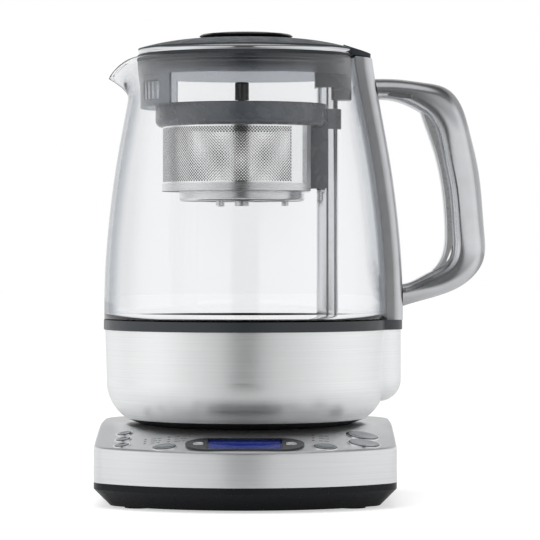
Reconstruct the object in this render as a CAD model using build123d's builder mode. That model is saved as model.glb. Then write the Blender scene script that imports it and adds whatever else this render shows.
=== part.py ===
from build123d import *
import math
import os

# ---------------------------------------------------------------- driving dimensions (mm)
# Power base, measured from the jug axis: its front is round about that axis
base_half_width = 81.5
front_reach = 104.0
back_reach = 84.0
front_corner = 20.0
back_corner = 34.0
seam_height = 13.5
plateau_height = 41.7
panel_start = 48.0
panel_angle = 9.4
crest_shift = 37.0
slope_overrun = 1.05
crease_radius = 40.0
cover_edge = 1.8
cover_wall = 1.5
chassis_wall = 2.0
tray_wall = 2.0
tray_chamfer = 9.0
tray_lip = 3.0
foot_lift = 1.0
foot_radius = 7.0
foot_height = 3.0
foot_inset = 24.0
boss_radius = 4.0
boss_inset = 21.5
boss_front = 20.0
boss_back = 48.0
screw_radius = 1.5
screw_head_radius = 2.8
screw_length = 12.0

# Controls on the slope: insets are from the straight sides and setbacks from the round front edge
button_proud = 0.9
button_travel = 0.8
button_gap = 0.3
button_dish = 0.5
ring_width = 0.8
ring_proud = 0.5
ring_lift = 0.2
flange_width = 1.0
flange_height = 1.0
stem_radius = 1.5
switch_size = 6.0
switch_height = 3.6
plunger_radius = 1.7
plunger_height = 0.5
plunger_depth = 12.0
board_thickness = 1.6
board_inset = 9.8
board_margin = 6.0
board_back = 36.0
pillar_radius = 2.2
front_pillar = (-6.5, 12.5)
back_pillar_inset = 31.5
back_pillar_setback = 7.0
bezel_setback = 17.0
bezel_length = 63.0
bezel_width = 27.6
bezel_lip = 0.8
bezel_sink = 1.4
bezel_proud = 0.6
window_length = 39.4
window_width = 23.6
window_thickness = 1.2
step_x = 24.5
step_radius = 3.0
trio_inset = 15.9
trio_setback = 8.8
trio_pitch = 14.9
trio_radius = 3.7
dish_gap = 11.0
dish_setback = 8.4
dish_radius = 5.9
start_inset = 18.1
start_setback = 13.6
start_pitch = 19.4
start_radius = 8.1

# Power connector between base and jug
hub_radius = 16.5
hub_rise = 10.0
hub_flange = 5.0
hub_clearance = 0.7
hub_round = 1.0
groove_radii = (12.0, 7.0)
groove_width = 2.2
groove_depth = 8.0
blade_width = 1.2
blade_gap = 1.0
pin_radius = 2.4
contact_height = 2.0
socket_wall = 4.8
socket_height = 17.5
socket_flange = 4.0
socket_flange_height = 2.0

# Cord gland in the back of the tray
gland_x = 30.0
gland_bore = 3.5
gland_radius = 5.2
gland_length = 14.0
gland_recess = 1.5
gland_rise = 0.5
gland_block = 3.0

# Power board
power_board_length = 62.0
power_board_width = 40.0
power_board_y = 46.0
standoff_height = 5.0
standoff_radius = 3.0
standoff_inset = 5.0
transformer_length = 15.0
transformer_width = 19.0
relay_length = 18.0
relay_width = 12.0
capacitor_radius = 5.0
relay_y = -8.0
capacitor_y = 10.0
component_height = 12.0

# Jug, measured from its own axis
collar_radius = 79.0
collar_height = 5.4
collar_bore = 50.0
collar_step = 0.2
collar_overhang = 0.8
housing_height = 49.1
housing_step = 0.8
housing_draft = 0.9
housing_belly = 22.0
housing_wall = 1.0
foot_taper = 11.9
foot_ring_radius = 58.0
foot_ring_height = 3.3
foot_plate_step = 2.5
jug_post_ring = 54.0
jug_post_radius = 3.6
jug_post_angles = (60, 180, 300)
jug_screw_length = 18.0
bulge_radius = 21.0
bulge_height = 28.5
bulge_tip = 10.0
glass_wall = 2.3
glass_mouth_radius = 61.6
glass_step = 1.0
plate_thickness = 1.5
glass_seal_height = 2.0
glass_seal_width = 2.0
glass_seal_fit = 0.1
spout_throw = 15.0
spout_tip_drop = 10.7
spout_root_drop = 22.7
spout_half_width = 27.0
spout_root_proud = 1.0
spout_middle_proud = 4.6
spout_middle = 0.45
spout_fall = 4.4
spout_fall_start = 4.0
spout_trim = 0.4
spout_cut = 20.0
diffuser_radius = 33.5
diffuser_thickness = 2.5
element_ring_radius = 27.0
element_radius = 3.4
element_gap_angle = 40.0
sensor_radius = 3.0
sensor_height = 5.0

# Lift post
post_x = 45.2
post_radius = 6.0
post_wall = 0.7
post_drop = 15.7
post_cap_height = 2.0
post_flare = 2.2
bracket_radius = 10.5
bracket_height = 14.0
bracket_wall = 3.0
tube_socket = 6.0
motor_radius = 9.5
motor_length = 26.0
motor_shaft_radius = 1.5
motor_shaft_length = 5.0
lead_screw_radius = 2.4
lead_screw_hub = 5.0
lead_screw_hub_height = 5.0
running_fit = 0.08
carriage_length = 26.0
carriage_flange = 2.0
magnet_ring_wall = 1.6
moving_gap = 0.3

# Basket, parked at the top of the post
basket_x = -2.3
basket_park = 10.5
basket_flat_reach = 37.8
rim_radius = 48.0
rim_height = 12.5
rim_round = 3.5
rim_edge = 0.8
mesh_radius = 43.9
mesh_wall = 0.6
mesh_seat = 3.0
mesh_drop = 35.6
ledge_width = 1.4
ledge_drop = 5.3
band_height = 4.2
band_wall = 0.5
step_cup_radius = 34.7
step_cup_depth = 5.4
step_cup_round = 1.5
floor_thickness = 1.0
nub_radius = 2.0
nub_height = 2.6
nub_ring = 24.0
lug_wall = 1.5
lug_height = 11.0
lug_drop = 2.5
column_drop = 34.0
magnet_width = 8.0
magnet_thickness = 2.0
magnet_length = 20.0
basket_lid_thickness = 2.4
knob_radius = 3.9
knob_lift = 2.5
knob_height = 10.0
knob_stalk_radius = 2.3
knob_round = 1.0

# Jug lid
lid_rest = 0.6
lid_seal_overhang = 0.5
lid_seal_flange = 0.9
lid_seal_depth = 2.7
lid_ring_height = 2.9
lid_ring_width = 4.0
lid_dome_rise = 6.3
lid_dome_shoulder = 0.9
lid_dome_cavity = 3.2
lid_cavity_radius = 42.0
grip_radius = 26.0
grip_height = 4.2
grip_undercut = 2.0
grip_edge = 1.0
skirt_gap = 0.6
skirt_depth = 10.7
skirt_wall = 1.7
skirt_neck_radius = 52.0
tail_throw = 7.4
tail_half_width = 13.0
tail_root = 6.0
tail_root_rise = 2.8
tail_tip_rise = 0.9
tail_gap = 0.4
guide_half_width = 9.0
guide_wall = 1.0
guide_cover = 1.0
guide_reach = 55.6
hook_start = 48.6
hook_reach = 58.2
hook_half_width = 7.3
hook_drop = 7.0
hook_gap = 0.5
filter_half_angle = 46.0
filter_drop = 17.5
filter_slots = 4
filter_slot_width = 1.6
filter_slot_length = 10.8
filter_slot_pitch = 4.0
filter_window = 27.0

# Spine and handle
spine_depth = 8.0
spine_half_width = 13.0
spine_round = 5.0
spine_rise = 0.3
spine_fall = 1.1
spine_fit = 0.02
handle_reach = 132.0
handle_top_drop = 12.0
handle_height = 128.2
handle_foot_rise = 5.0
handle_half_width = 10.5
handle_outer_round = 6.0
handle_inner_round = 5.0
grip_depth = 18.0
upper_arm_depth = 11.6
lower_arm_depth = 14.5
insert_thickness = 3.6
insert_half_width = 6.5
insert_round = 1.2
insert_back = 6.0
groove_height = 2.4
groove_deep = 2.5
handle_screw_seat = 1.6
handle_screw_inset = 6.5
handle_screw_lift = 1.4
handle_screw_length = 17.0
upper_groove = (15.4, 21.0)
upper_groove_rise = (2.4, 1.6)
lower_groove = (26.4, 32.8)
lower_groove_rise = (0.0, 3.0)

# ---------------------------------------------------------------- heights and radii that follow
foot_top = plateau_height + foot_ring_height
collar_bottom = foot_top + housing_height
collar_top = collar_bottom + collar_height
glass_height = handle_top_drop + handle_height + handle_foot_rise
glass_top = collar_top + glass_height
spine_top = glass_top + spine_rise
housing_radius = collar_radius - housing_step
housing_waist = housing_radius - housing_draft
housing_waist_height = foot_top + housing_belly
housing_foot_radius = housing_radius - foot_taper
glass_foot_radius = collar_radius - collar_step
plate_radius = glass_foot_radius - glass_wall - glass_step
mouth_bore = glass_mouth_radius - glass_wall
bulge_x = glass_foot_radius + spine_depth - collar_overhang - bulge_radius
bulge_waist = collar_bottom - bulge_height
spout_reach = glass_mouth_radius + spout_throw
spout_tip_height = glass_top - spout_tip_drop
spout_root_height = glass_top - spout_root_drop
post_top = glass_top - post_drop
rim_top = post_top - basket_park
rim_bottom = rim_top - rim_height
band_bottom = rim_bottom - mesh_drop
basket_flat_x = basket_x + basket_flat_reach
knob_bottom = rim_top + knob_lift
knob_top = knob_bottom + knob_height
lid_radius = mouth_bore + lid_rest
skirt_radius = mouth_bore - skirt_gap
skirt_bottom = glass_top - skirt_depth
filter_bottom = skirt_bottom - filter_drop
guide_bottom = post_top - guide_cover
hook_bottom = guide_bottom - hook_drop
crest_radius = panel_start + crest_shift
slope_drop = (front_reach - panel_start) * math.tan(math.radians(panel_angle))
tail_reach = glass_mouth_radius + tail_throw

# ---------------------------------------------------------------- frame
# The origin is under the middle of the whole machine, on the counter. The jug axis is set off from it,
# because the handle and the controls reach further than the spout and the back.
jug_x = (base_half_width - handle_reach) / 2
jug_y = (front_reach - back_reach) / 2
jug_axis = Axis((jug_x, jug_y, 0), (0, 0, 1))
side_section = Plane(origin=(jug_x, jug_y, 0), x_dir=(1, 0, 0), z_dir=(0, -1, 0))
tilt = math.radians(panel_angle)
panel = Plane(
    origin=(jug_x, jug_y - panel_start, plateau_height),
    x_dir=(1, 0, 0),
    z_dir=(0, -math.sin(tilt), math.cos(tilt)),
)
post_axis = Axis((jug_x + post_x, jug_y, 0), (0, 0, 1))

finished = []


def level(height):
    """Horizontal plane at a height, centred on the jug axis."""
    return Plane(origin=(jug_x, jug_y, height))


def keep(builder, label):
    """Label one finished sub-part and list it for export."""
    builder.part.label = label
    finished.append((builder.part, label))


def base_plan(inset=0.0):
    """Plan of the power base about the jug axis: round front, straight sides, round corners."""
    half = base_half_width - inset
    front = front_reach - inset
    back = back_reach - inset
    side_front = -math.sqrt(front**2 - half**2)
    with BuildSketch() as plan:
        with BuildLine():
            bow = ThreePointArc((-half, side_front), (0, -front), (half, side_front))
            Polyline(bow @ 1, (half, back), (-half, back), bow @ 0)
        make_face()
        fillet(plan.vertices().group_by(Axis.Y)[0], radius=front_corner - inset)
        fillet(plan.vertices().group_by(Axis.Y)[-1], radius=back_corner - inset)
    return plan.sketch


# The top slopes from the plateau's round edge, centred behind the jug axis, down to the round front.
# Between the two it is a leaning cone: a share of 0 is the plateau's edge and a share of 1 the front.
def slope_reach(share):
    """Radius of the slope's circle at a share of the way down."""
    return crest_radius + (front_reach - crest_radius) * share


def slope_centre(share):
    """Place of that circle's centre behind the jug axis."""
    return crest_shift * (1 - share)


def above_slope(drop):
    """Solid over the sloping top, lowered by drop, to cut the slope with."""
    low = plateau_height - slope_drop * slope_overrun - drop
    with BuildPart() as hill:
        with BuildSketch(level(low)):
            with Locations((0, slope_centre(slope_overrun))):
                Circle(slope_reach(slope_overrun))
        with BuildSketch(level(plateau_height - drop)):
            with Locations((0, slope_centre(0))):
                Circle(slope_reach(0))
        loft(ruled=True)
    with BuildPart() as sky:
        with BuildSketch(level(low)):
            Circle(front_reach * 2)
        extrude(amount=plateau_height - low)
        add(hill.part, mode=Mode.SUBTRACT)
    return sky.part


def cover_form(inset, drop):
    """Solid inside the cover: the base plan up to the plateau, with the slope cut off its front."""
    with BuildPart() as form:
        with BuildSketch(level(seam_height)):
            add(base_plan(inset))
        extrude(amount=plateau_height - drop - seam_height)
        add(above_slope(drop), mode=Mode.SUBTRACT)
        plateau = form.faces().sort_by(Axis.Z)[-1]
        fillet(plateau.edges().sort_by(Axis.Y)[0], radius=crease_radius)
    return form.part


def surface_plane(x, y):
    """Plane that touches the sloping top at a place in plan, square to the way a button there moves."""
    low, high = 0.0, slope_overrun
    for _ in range(40):
        share = (low + high) / 2
        if math.hypot(x, y - slope_centre(share)) > slope_reach(share):
            low = share
        else:
            high = share
    across, along = x, y - slope_centre(share)
    reach = math.hypot(across, along)
    steepness = slope_drop / (front_reach - crest_radius - crest_shift * along / reach)
    normal = Vector(steepness * across / reach, steepness * along / reach, 1)
    height = plateau_height - slope_drop * share
    return Plane(origin=(jug_x + x, jug_y + y, height), x_dir=(1, 0, -normal.X), z_dir=normal)


# ---------------------------------------------------------------- controls layout on the slope
def set_back(across, setback):
    """Plan y of a place that is set back from the round front edge."""
    return setback - math.sqrt(front_reach**2 - across**2)


bezel_hole = (bezel_length - 2 * bezel_lip, bezel_width - 2 * bezel_lip)
bezel_row = (front_reach - bezel_setback - panel_start) / math.cos(tilt)
trio_x = base_half_width - trio_inset
trio_y = set_back(trio_x, trio_setback)
dish_x = bezel_length / 2 + dish_gap
dish_y = set_back(dish_x, dish_setback)
start_x = base_half_width - start_inset
start_y = set_back(start_x, start_setback)

# Each button: name, plane that touches the surface at its middle, cap radius
steel_buttons = [
    (
        f"preset_button_{number + 1}",
        surface_plane(-trio_x, trio_y + (2 - number) * trio_pitch),
        trio_radius,
    )
    for number in range(3)
]
steel_buttons.append(("select_button_left", surface_plane(-dish_x, dish_y), dish_radius))
steel_buttons.append(("select_button_right", surface_plane(dish_x, dish_y), dish_radius))
steel_buttons.append(("start_button_upper", surface_plane(start_x, start_y + start_pitch), start_radius))
steel_buttons.append(("start_button_lower", surface_plane(start_x, start_y), start_radius))
bezel_buttons = []
for name, side in (("minus_button", -1), ("plus_button", 1)):
    middle = panel.from_local_coords((side * step_x, -bezel_row, 0))
    bezel_buttons.append((name, Plane(origin=middle, x_dir=(1, 0, 0), z_dir=panel.z_dir), step_radius))
buttons = steel_buttons + bezel_buttons

chassis_under = cover_wall + chassis_wall
flange_top = chassis_under + button_gap
flange_under = flange_top + flange_height
switch_top = plunger_depth + plunger_height
board_top = switch_top + switch_height
board_length = 2 * (base_half_width - board_inset)
board_front = front_reach - board_margin
back_pillar = (base_half_width - back_pillar_inset, -board_back - back_pillar_setback)
pillar_places = [
    (side * x, y + panel_start)
    for side in (-1, 1)
    for x, y in (back_pillar, (dish_x + front_pillar[0], dish_y + front_pillar[1]))
]


def axis_depth(plane, depth):
    """Distance down a button's axis from its surface to the level at a depth under the bezel's plane."""
    foot = panel.offset(-depth).origin
    return (plane.origin - foot).dot(panel.z_dir) / plane.z_dir.dot(panel.z_dir)


def switch_place(plane):
    """Place on the control board of the switch whose plunger a button's stem meets."""
    meeting = plane.origin - plane.z_dir * axis_depth(plane, plunger_depth)
    local = panel.to_local_coords(meeting)
    return local.X, local.Y


# ---------------------------------------------------------------- power base: tray and feet
foot_x = base_half_width - foot_inset
foot_places = [
    (side * foot_x, y) for side in (-1, 1) for y in (set_back(foot_x, foot_inset), back_reach - foot_inset)
]
tray_floor = foot_lift + tray_wall
boss_x = base_half_width - boss_inset
boss_places = [(side * boss_x, y) for side in (-1, 1) for y in (-boss_front, boss_back)]
board_corners = [
    (
        side * (power_board_length / 2 - standoff_inset),
        power_board_y + end * (power_board_width / 2 - standoff_inset),
    )
    for side in (-1, 1)
    for end in (-1, 1)
]
gland_height = seam_height / 2 + gland_rise
gland_face = back_reach - gland_recess
gland_width = 2 * (gland_radius + gland_block)


def tray_form(inset, bottom):
    """Solid inside the tray: the base plan with a wide chamfer round its lower edge."""
    with BuildPart() as form:
        with BuildSketch(level(bottom)):
            add(base_plan(inset))
        extrude(amount=seam_height - bottom)
        chamfer(form.faces().sort_by(Axis.Z)[0].edges(), length=tray_chamfer)
    return form.part


with BuildPart() as base_tray:
    add(tray_form(0, foot_lift))
    add(tray_form(tray_wall, tray_floor), mode=Mode.SUBTRACT)
    # lip that locates the cover
    with BuildSketch(level(seam_height - tray_wall)):
        add(base_plan(cover_wall + moving_gap))
        add(base_plan(cover_wall + moving_gap + tray_wall), mode=Mode.SUBTRACT)
    extrude(amount=tray_wall + tray_lip)
    # posts for the power board, and the block that holds the cord gland
    with BuildSketch(level(tray_floor)):
        with Locations(*board_corners):
            Circle(standoff_radius)
    extrude(amount=standoff_height)
    with BuildSketch(level(tray_floor)):
        with Locations((gland_x, gland_face - gland_length / 2)):
            Rectangle(gland_width, gland_length)
    extrude(amount=seam_height - tray_floor)
    gland_plane = Plane(
        origin=(jug_x + gland_x, jug_y + gland_face, gland_height), x_dir=(-1, 0, 0), z_dir=(0, 1, 0)
    )
    with BuildSketch(gland_plane):
        Circle(gland_radius)
    extrude(amount=-gland_length - tray_wall, mode=Mode.SUBTRACT)
    with BuildSketch(gland_plane):
        Rectangle(gland_width, seam_height * 2)
    extrude(amount=gland_length, mode=Mode.SUBTRACT)
    # pockets for the feet and holes for the cover screws
    with BuildSketch(level(foot_lift)):
        with Locations(*foot_places):
            Circle(foot_radius)
    extrude(amount=(foot_height - foot_lift) / 2, mode=Mode.SUBTRACT)
    with BuildSketch(level(foot_lift)):
        with Locations(*boss_places):
            Circle(screw_head_radius)
    extrude(amount=tray_wall / 2, mode=Mode.SUBTRACT)
    with BuildSketch(level(foot_lift)):
        with Locations(*boss_places):
            Circle(screw_radius)
    extrude(amount=tray_wall, mode=Mode.SUBTRACT)
keep(base_tray, "base_tray")

with BuildPart() as base_feet:
    with BuildSketch(level(0)):
        with Locations(*foot_places):
            Circle(foot_radius)
    extrude(amount=foot_lift + (foot_height - foot_lift) / 2)
keep(base_feet, "base_feet")

with BuildPart() as base_screws:
    with BuildSketch(level(foot_lift)):
        with Locations(*boss_places):
            Circle(screw_head_radius)
    extrude(amount=tray_wall / 2)
    with BuildSketch(level(foot_lift + tray_wall / 2)):
        with Locations(*boss_places):
            Circle(screw_radius)
    extrude(amount=screw_length)
keep(base_screws, "base_screws")

# ---------------------------------------------------------------- power base: steel cover and chassis
with BuildPart() as base_cover:
    add(cover_form(0, 0))
    walls = base_cover.faces().filter_by(lambda face: abs(face.normal_at().Z) < 0.01)
    top_rim = walls.edges().filter_by(
        lambda edge: edge.center().Z > (seam_height + plateau_height) / 2
        and abs(edge.tangent_at(0.5).Z) < 0.9
    )
    fillet(top_rim, radius=cover_edge)
    add(cover_form(cover_wall, cover_wall), mode=Mode.SUBTRACT)
    with BuildSketch(level(plateau_height)):
        Circle(hub_radius)
    extrude(amount=-cover_wall, mode=Mode.SUBTRACT)
    for name, plane, radius in steel_buttons:
        with BuildSketch(plane.offset(button_proud)):
            Circle(radius + button_gap + ring_width)
        extrude(amount=-button_proud - 2 * cover_wall, mode=Mode.SUBTRACT)
    with BuildSketch(panel.offset(button_proud)):
        with Locations((0, -bezel_row)):
            SlotOverall(*bezel_hole)
    extrude(amount=-button_proud - bezel_sink - 2 * cover_wall, mode=Mode.SUBTRACT)
keep(base_cover, "base_cover")

with BuildPart() as pillars:
    with BuildSketch(panel.offset(-board_top)):
        with Locations(*pillar_places):
            Circle(pillar_radius)
    extrude(amount=board_top)
    add(cover_form(cover_wall, cover_wall + chassis_wall / 2), mode=Mode.INTERSECT)

with BuildPart() as base_chassis:
    add(cover_form(cover_wall, cover_wall))
    add(cover_form(0, chassis_under), mode=Mode.SUBTRACT)
    add(pillars.part)
    with BuildSketch(level(tray_floor)):
        with Locations(*boss_places):
            Circle(boss_radius)
    extrude(amount=plateau_height - cover_wall - chassis_wall / 2 - tray_floor)
    with BuildSketch(level(plateau_height)):
        Circle(hub_radius)
    extrude(amount=-plateau_height / 2, mode=Mode.SUBTRACT)
    for name, plane, radius in steel_buttons:
        with BuildSketch(plane.offset(button_proud)):
            Circle(radius + button_gap)
        extrude(amount=-button_proud - flange_top, mode=Mode.SUBTRACT)
    with BuildSketch(panel.offset(button_proud)):
        with Locations((0, -bezel_row)):
            SlotOverall(*bezel_hole)
    extrude(amount=-button_proud - bezel_sink - flange_under, mode=Mode.SUBTRACT)
    with BuildSketch(level(tray_floor)):
        with Locations(*boss_places):
            Circle(screw_radius)
    extrude(amount=screw_length - tray_wall / 2, mode=Mode.SUBTRACT)
keep(base_chassis, "base_chassis")

# ---------------------------------------------------------------- control panel pieces
with BuildPart() as button_rings:
    for name, plane, radius in steel_buttons:
        with BuildSketch(plane.offset(ring_proud)):
            Circle(radius + button_gap + ring_width)
            Circle(radius + button_gap, mode=Mode.SUBTRACT)
        extrude(amount=-ring_proud - cover_wall + ring_lift)
keep(button_rings, "button_rings")

with BuildPart() as lcd_bezel:
    # lip that lies on the cover, and the body that goes through it
    with BuildSketch(panel.offset(-bezel_sink)):
        with Locations((0, -bezel_row)):
            SlotOverall(bezel_length, bezel_width)
    extrude(amount=bezel_sink + bezel_proud)
    add(cover_form(0, 0), mode=Mode.SUBTRACT)
    with BuildSketch(panel.offset(-chassis_under)):
        with Locations((0, -bezel_row)):
            SlotOverall(*bezel_hole)
    extrude(amount=chassis_under + bezel_proud)
    with BuildSketch(panel.offset(button_proud)):
        with Locations((0, -bezel_row)):
            Rectangle(window_length, window_width)
    extrude(amount=-button_proud - 2 * chassis_under, mode=Mode.SUBTRACT)
    for name, plane, radius in bezel_buttons:
        with BuildSketch(plane.offset(button_proud)):
            Circle(radius + button_gap)
        extrude(amount=-button_proud - 2 * chassis_under, mode=Mode.SUBTRACT)
keep(lcd_bezel, "lcd_bezel")

with BuildPart() as lcd_window:
    with BuildSketch(panel.offset(bezel_proud - button_gap)):
        with Locations((0, -bezel_row)):
            Rectangle(window_length, window_width)
    extrude(amount=-window_thickness)
keep(lcd_window, "lcd_window")

with BuildPart() as lcd_module:
    with BuildSketch(panel.offset(-board_top)):
        with Locations((0, -bezel_row)):
            Rectangle(window_length, window_width)
    extrude(amount=board_top + bezel_proud - button_gap - window_thickness)
keep(lcd_module, "lcd_module")

with BuildPart() as control_board:
    with BuildSketch(panel.offset(-board_top)):
        with Locations((0, panel_start - board_back)):
            Rectangle(board_length, board_front, align=(Align.CENTER, Align.MAX))
        with Locations((0, panel_start)):
            Circle(board_front, mode=Mode.INTERSECT)
    extrude(amount=-board_thickness)
keep(control_board, "control_board")

with BuildPart() as tact_switches:
    with BuildSketch(panel.offset(-board_top)):
        with Locations(*[switch_place(plane) for _, plane, _ in buttons]):
            Rectangle(switch_size, switch_size)
    extrude(amount=switch_height)
    with BuildSketch(panel.offset(-switch_top)):
        with Locations(*[switch_place(plane) for _, plane, _ in buttons]):
            Circle(plunger_radius)
    extrude(amount=plunger_height)
keep(tact_switches, "tact_switches")


def push_button(plane, radius):
    """One button: dished cap, flange under the panel that keeps it in, and a stem down to its switch."""
    dish_sphere = (radius * 0.8) ** 2 / (2 * button_dish)
    stem_end = axis_depth(plane, plunger_depth) - button_travel - button_gap
    with BuildPart() as cap:
        with BuildSketch(plane.offset(-flange_under)):
            Circle(radius)
        extrude(amount=flange_under + button_proud)
        fillet(cap.edges().filter_by(GeomType.CIRCLE).sort_by(Axis.Z)[-1], radius=button_proud / 3)
        with Locations(plane.offset(button_proud - button_dish + dish_sphere).location):
            Sphere(dish_sphere, mode=Mode.SUBTRACT)
        with BuildSketch(plane.offset(-flange_under)):
            Circle(radius + flange_width)
        extrude(amount=flange_height)
        with BuildSketch(plane.offset(-stem_end)):
            Circle(stem_radius)
        extrude(amount=stem_end - flange_under)
    return cap


for name, plane, radius in buttons:
    keep(push_button(plane, radius), name)

# ---------------------------------------------------------------- power base: connector, board, gland
hub_top = plateau_height + hub_rise
hub_bottom = plateau_height - chassis_under - hub_flange / 2

with BuildPart() as connector_base:
    with BuildSketch(level(hub_bottom)):
        Circle(hub_radius + hub_flange)
    extrude(amount=hub_flange / 2)
    with BuildSketch(level(hub_bottom)):
        Circle(hub_radius)
    extrude(amount=hub_top - hub_bottom)
    fillet(connector_base.edges().filter_by(GeomType.CIRCLE).sort_by(Axis.Z)[-1], radius=hub_round)
    with BuildSketch(level(hub_top)):
        for radius in groove_radii:
            Circle(radius + groove_width / 2)
            Circle(radius - groove_width / 2, mode=Mode.SUBTRACT)
        Circle(pin_radius + blade_gap)
    extrude(amount=-groove_depth, mode=Mode.SUBTRACT)
keep(connector_base, "connector_base")

with BuildPart() as connector_contacts:
    with BuildSketch(level(hub_top - groove_depth)):
        for radius in groove_radii:
            Circle(radius + groove_width / 2)
            Circle(radius - groove_width / 2, mode=Mode.SUBTRACT)
        Circle(pin_radius + blade_gap)
    extrude(amount=contact_height)
keep(connector_contacts, "connector_contacts")

with BuildPart() as power_board:
    with BuildSketch(level(tray_floor + standoff_height)):
        with Locations((0, power_board_y)):
            Rectangle(power_board_length, power_board_width)
    extrude(amount=board_thickness)
    with BuildSketch(level(tray_floor + standoff_height + board_thickness)):
        with Locations((-power_board_length / 4, power_board_y)):
            Rectangle(transformer_length, transformer_width)
        with Locations((power_board_length / 5, power_board_y + relay_y)):
            Rectangle(relay_length, relay_width)
        with Locations((power_board_length / 5, power_board_y + capacitor_y)):
            Circle(capacitor_radius)
    extrude(amount=component_height)
keep(power_board, "power_board")

with BuildPart() as cord_gland:
    with BuildSketch(gland_plane):
        Circle(gland_radius)
        Circle(gland_bore, mode=Mode.SUBTRACT)
    extrude(amount=-gland_length)
keep(cord_gland, "cord_gland")

# ---------------------------------------------------------------- jug base: housing, foot, collar
plate_under = collar_top - plate_thickness


def housing_form(inset):
    """Solid inside the steel housing: round body with a bulge under the handle spine."""
    with BuildPart() as form:
        with BuildSketch(side_section):
            with BuildLine():
                side = Line(
                    (housing_radius - inset, collar_bottom), (housing_waist - inset, housing_waist_height)
                )
                belly = ThreePointArc(
                    side @ 1,
                    (housing_waist - 0.28 * foot_taper - inset, foot_top + 0.36 * housing_belly),
                    (housing_foot_radius - inset, foot_top),
                )
                Polyline(belly @ 1, (0, foot_top), (0, collar_bottom), side @ 0)
            make_face()
        revolve(axis=jug_axis)
        bulge_axis = Axis((jug_x + bulge_x, jug_y, 0), (0, 0, 1))
        with BuildSketch(side_section):
            with BuildLine():
                bulge_reach = bulge_x + bulge_radius - inset
                side = Line((bulge_reach, collar_bottom), (bulge_reach, bulge_waist))
                chin = ThreePointArc(
                    side @ 1,
                    (bulge_reach - bulge_radius * 0.15, bulge_waist - bulge_radius * 0.36),
                    (bulge_x + bulge_tip - inset, bulge_waist - bulge_radius * 0.55),
                )
                Polyline(chin @ 1, (bulge_x, (chin @ 1).Y), (bulge_x, collar_bottom), side @ 0)
            make_face()
        revolve(axis=bulge_axis)
    return form.part


with BuildPart() as jug_housing:
    add(housing_form(0))
    add(housing_form(housing_wall), mode=Mode.SUBTRACT)
keep(jug_housing, "jug_housing")

jug_post_places = [
    (jug_post_ring * math.cos(math.radians(angle)), jug_post_ring * math.sin(math.radians(angle)))
    for angle in jug_post_angles
]

with BuildPart() as jug_foot:
    socket_seat = foot_top + foot_plate_step
    ledge = housing_foot_radius - housing_wall - moving_gap
    socket_radius = hub_radius + hub_clearance + socket_wall
    with BuildSketch(side_section):
        Polygon(
            (socket_radius, plateau_height),
            (foot_ring_radius, plateau_height),
            (housing_foot_radius, foot_top),
            (ledge, foot_top),
            (ledge, socket_seat),
            (socket_radius, socket_seat),
            align=None,
        )
    revolve(axis=jug_axis)
    with BuildSketch(level(plateau_height)):
        with Locations(*jug_post_places):
            Circle(screw_head_radius)
    extrude(amount=moving_gap + tray_wall, mode=Mode.SUBTRACT)
    with BuildSketch(level(plateau_height)):
        with Locations(*jug_post_places):
            Circle(screw_radius)
    extrude(amount=plateau_height, mode=Mode.SUBTRACT)
keep(jug_foot, "jug_foot")

with BuildPart() as connector_jug:
    socket_inner = hub_radius + hub_clearance
    socket_roof = hub_top + hub_clearance
    with BuildSketch(side_section):
        Polygon(
            (socket_inner, plateau_height + moving_gap),
            (socket_radius, plateau_height + moving_gap),
            (socket_radius, socket_seat),
            (socket_radius + socket_flange, socket_seat),
            (socket_radius + socket_flange, socket_seat + socket_flange_height),
            (socket_radius, socket_seat + socket_flange_height),
            (socket_radius, plateau_height + socket_height),
            (0, plateau_height + socket_height),
            (0, socket_roof),
            (socket_inner, socket_roof),
            align=None,
        )
    revolve(axis=jug_axis)
    with BuildSketch(level(socket_roof)):
        for radius in groove_radii:
            Circle(radius + blade_width / 2)
            Circle(radius - blade_width / 2, mode=Mode.SUBTRACT)
        Circle(pin_radius)
    extrude(amount=-(socket_roof - hub_top + groove_depth - contact_height - moving_gap))
keep(connector_jug, "connector_jug")

with BuildPart() as jug_collar:
    with BuildSketch(level(collar_bottom)):
        Circle(collar_radius)
        with Locations((bulge_x, 0)):
            Circle(bulge_radius + collar_overhang)
        Circle(collar_bore, mode=Mode.SUBTRACT)
    extrude(amount=collar_top - collar_bottom)
    with BuildSketch(level(plate_under)):
        Circle(plate_radius)
    extrude(amount=plate_thickness, mode=Mode.SUBTRACT)
    with BuildSketch(level(collar_bottom)):
        with Locations((post_x, 0)):
            Circle(bracket_radius + moving_gap)
    extrude(amount=collar_top, mode=Mode.SUBTRACT)
    with BuildSketch(level(socket_seat)):
        with Locations(*jug_post_places):
            Circle(jug_post_radius)
    extrude(amount=collar_bottom - socket_seat)
    with BuildSketch(level(socket_seat)):
        with Locations(*jug_post_places):
            Circle(screw_radius)
    extrude(amount=jug_screw_length, mode=Mode.SUBTRACT)
keep(jug_collar, "jug_collar")

with BuildPart() as jug_screws:
    with BuildSketch(level(plateau_height + moving_gap)):
        with Locations(*jug_post_places):
            Circle(screw_head_radius)
    extrude(amount=tray_wall)
    with BuildSketch(level(plateau_height + moving_gap)):
        with Locations(*jug_post_places):
            Circle(screw_radius)
    extrude(amount=socket_seat - plateau_height - moving_gap + jug_screw_length)
keep(jug_screws, "jug_screws")

with BuildPart() as heater_plate:
    with BuildSketch(level(plate_under)):
        Circle(plate_radius)
        with Locations((post_x, 0)):
            Circle(post_radius, mode=Mode.SUBTRACT)
    extrude(amount=plate_thickness)
keep(heater_plate, "heater_plate")

with BuildPart() as heat_diffuser:
    with BuildSketch(level(plate_under)):
        Circle(diffuser_radius)
    extrude(amount=-diffuser_thickness)
keep(heat_diffuser, "heat_diffuser")

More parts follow.
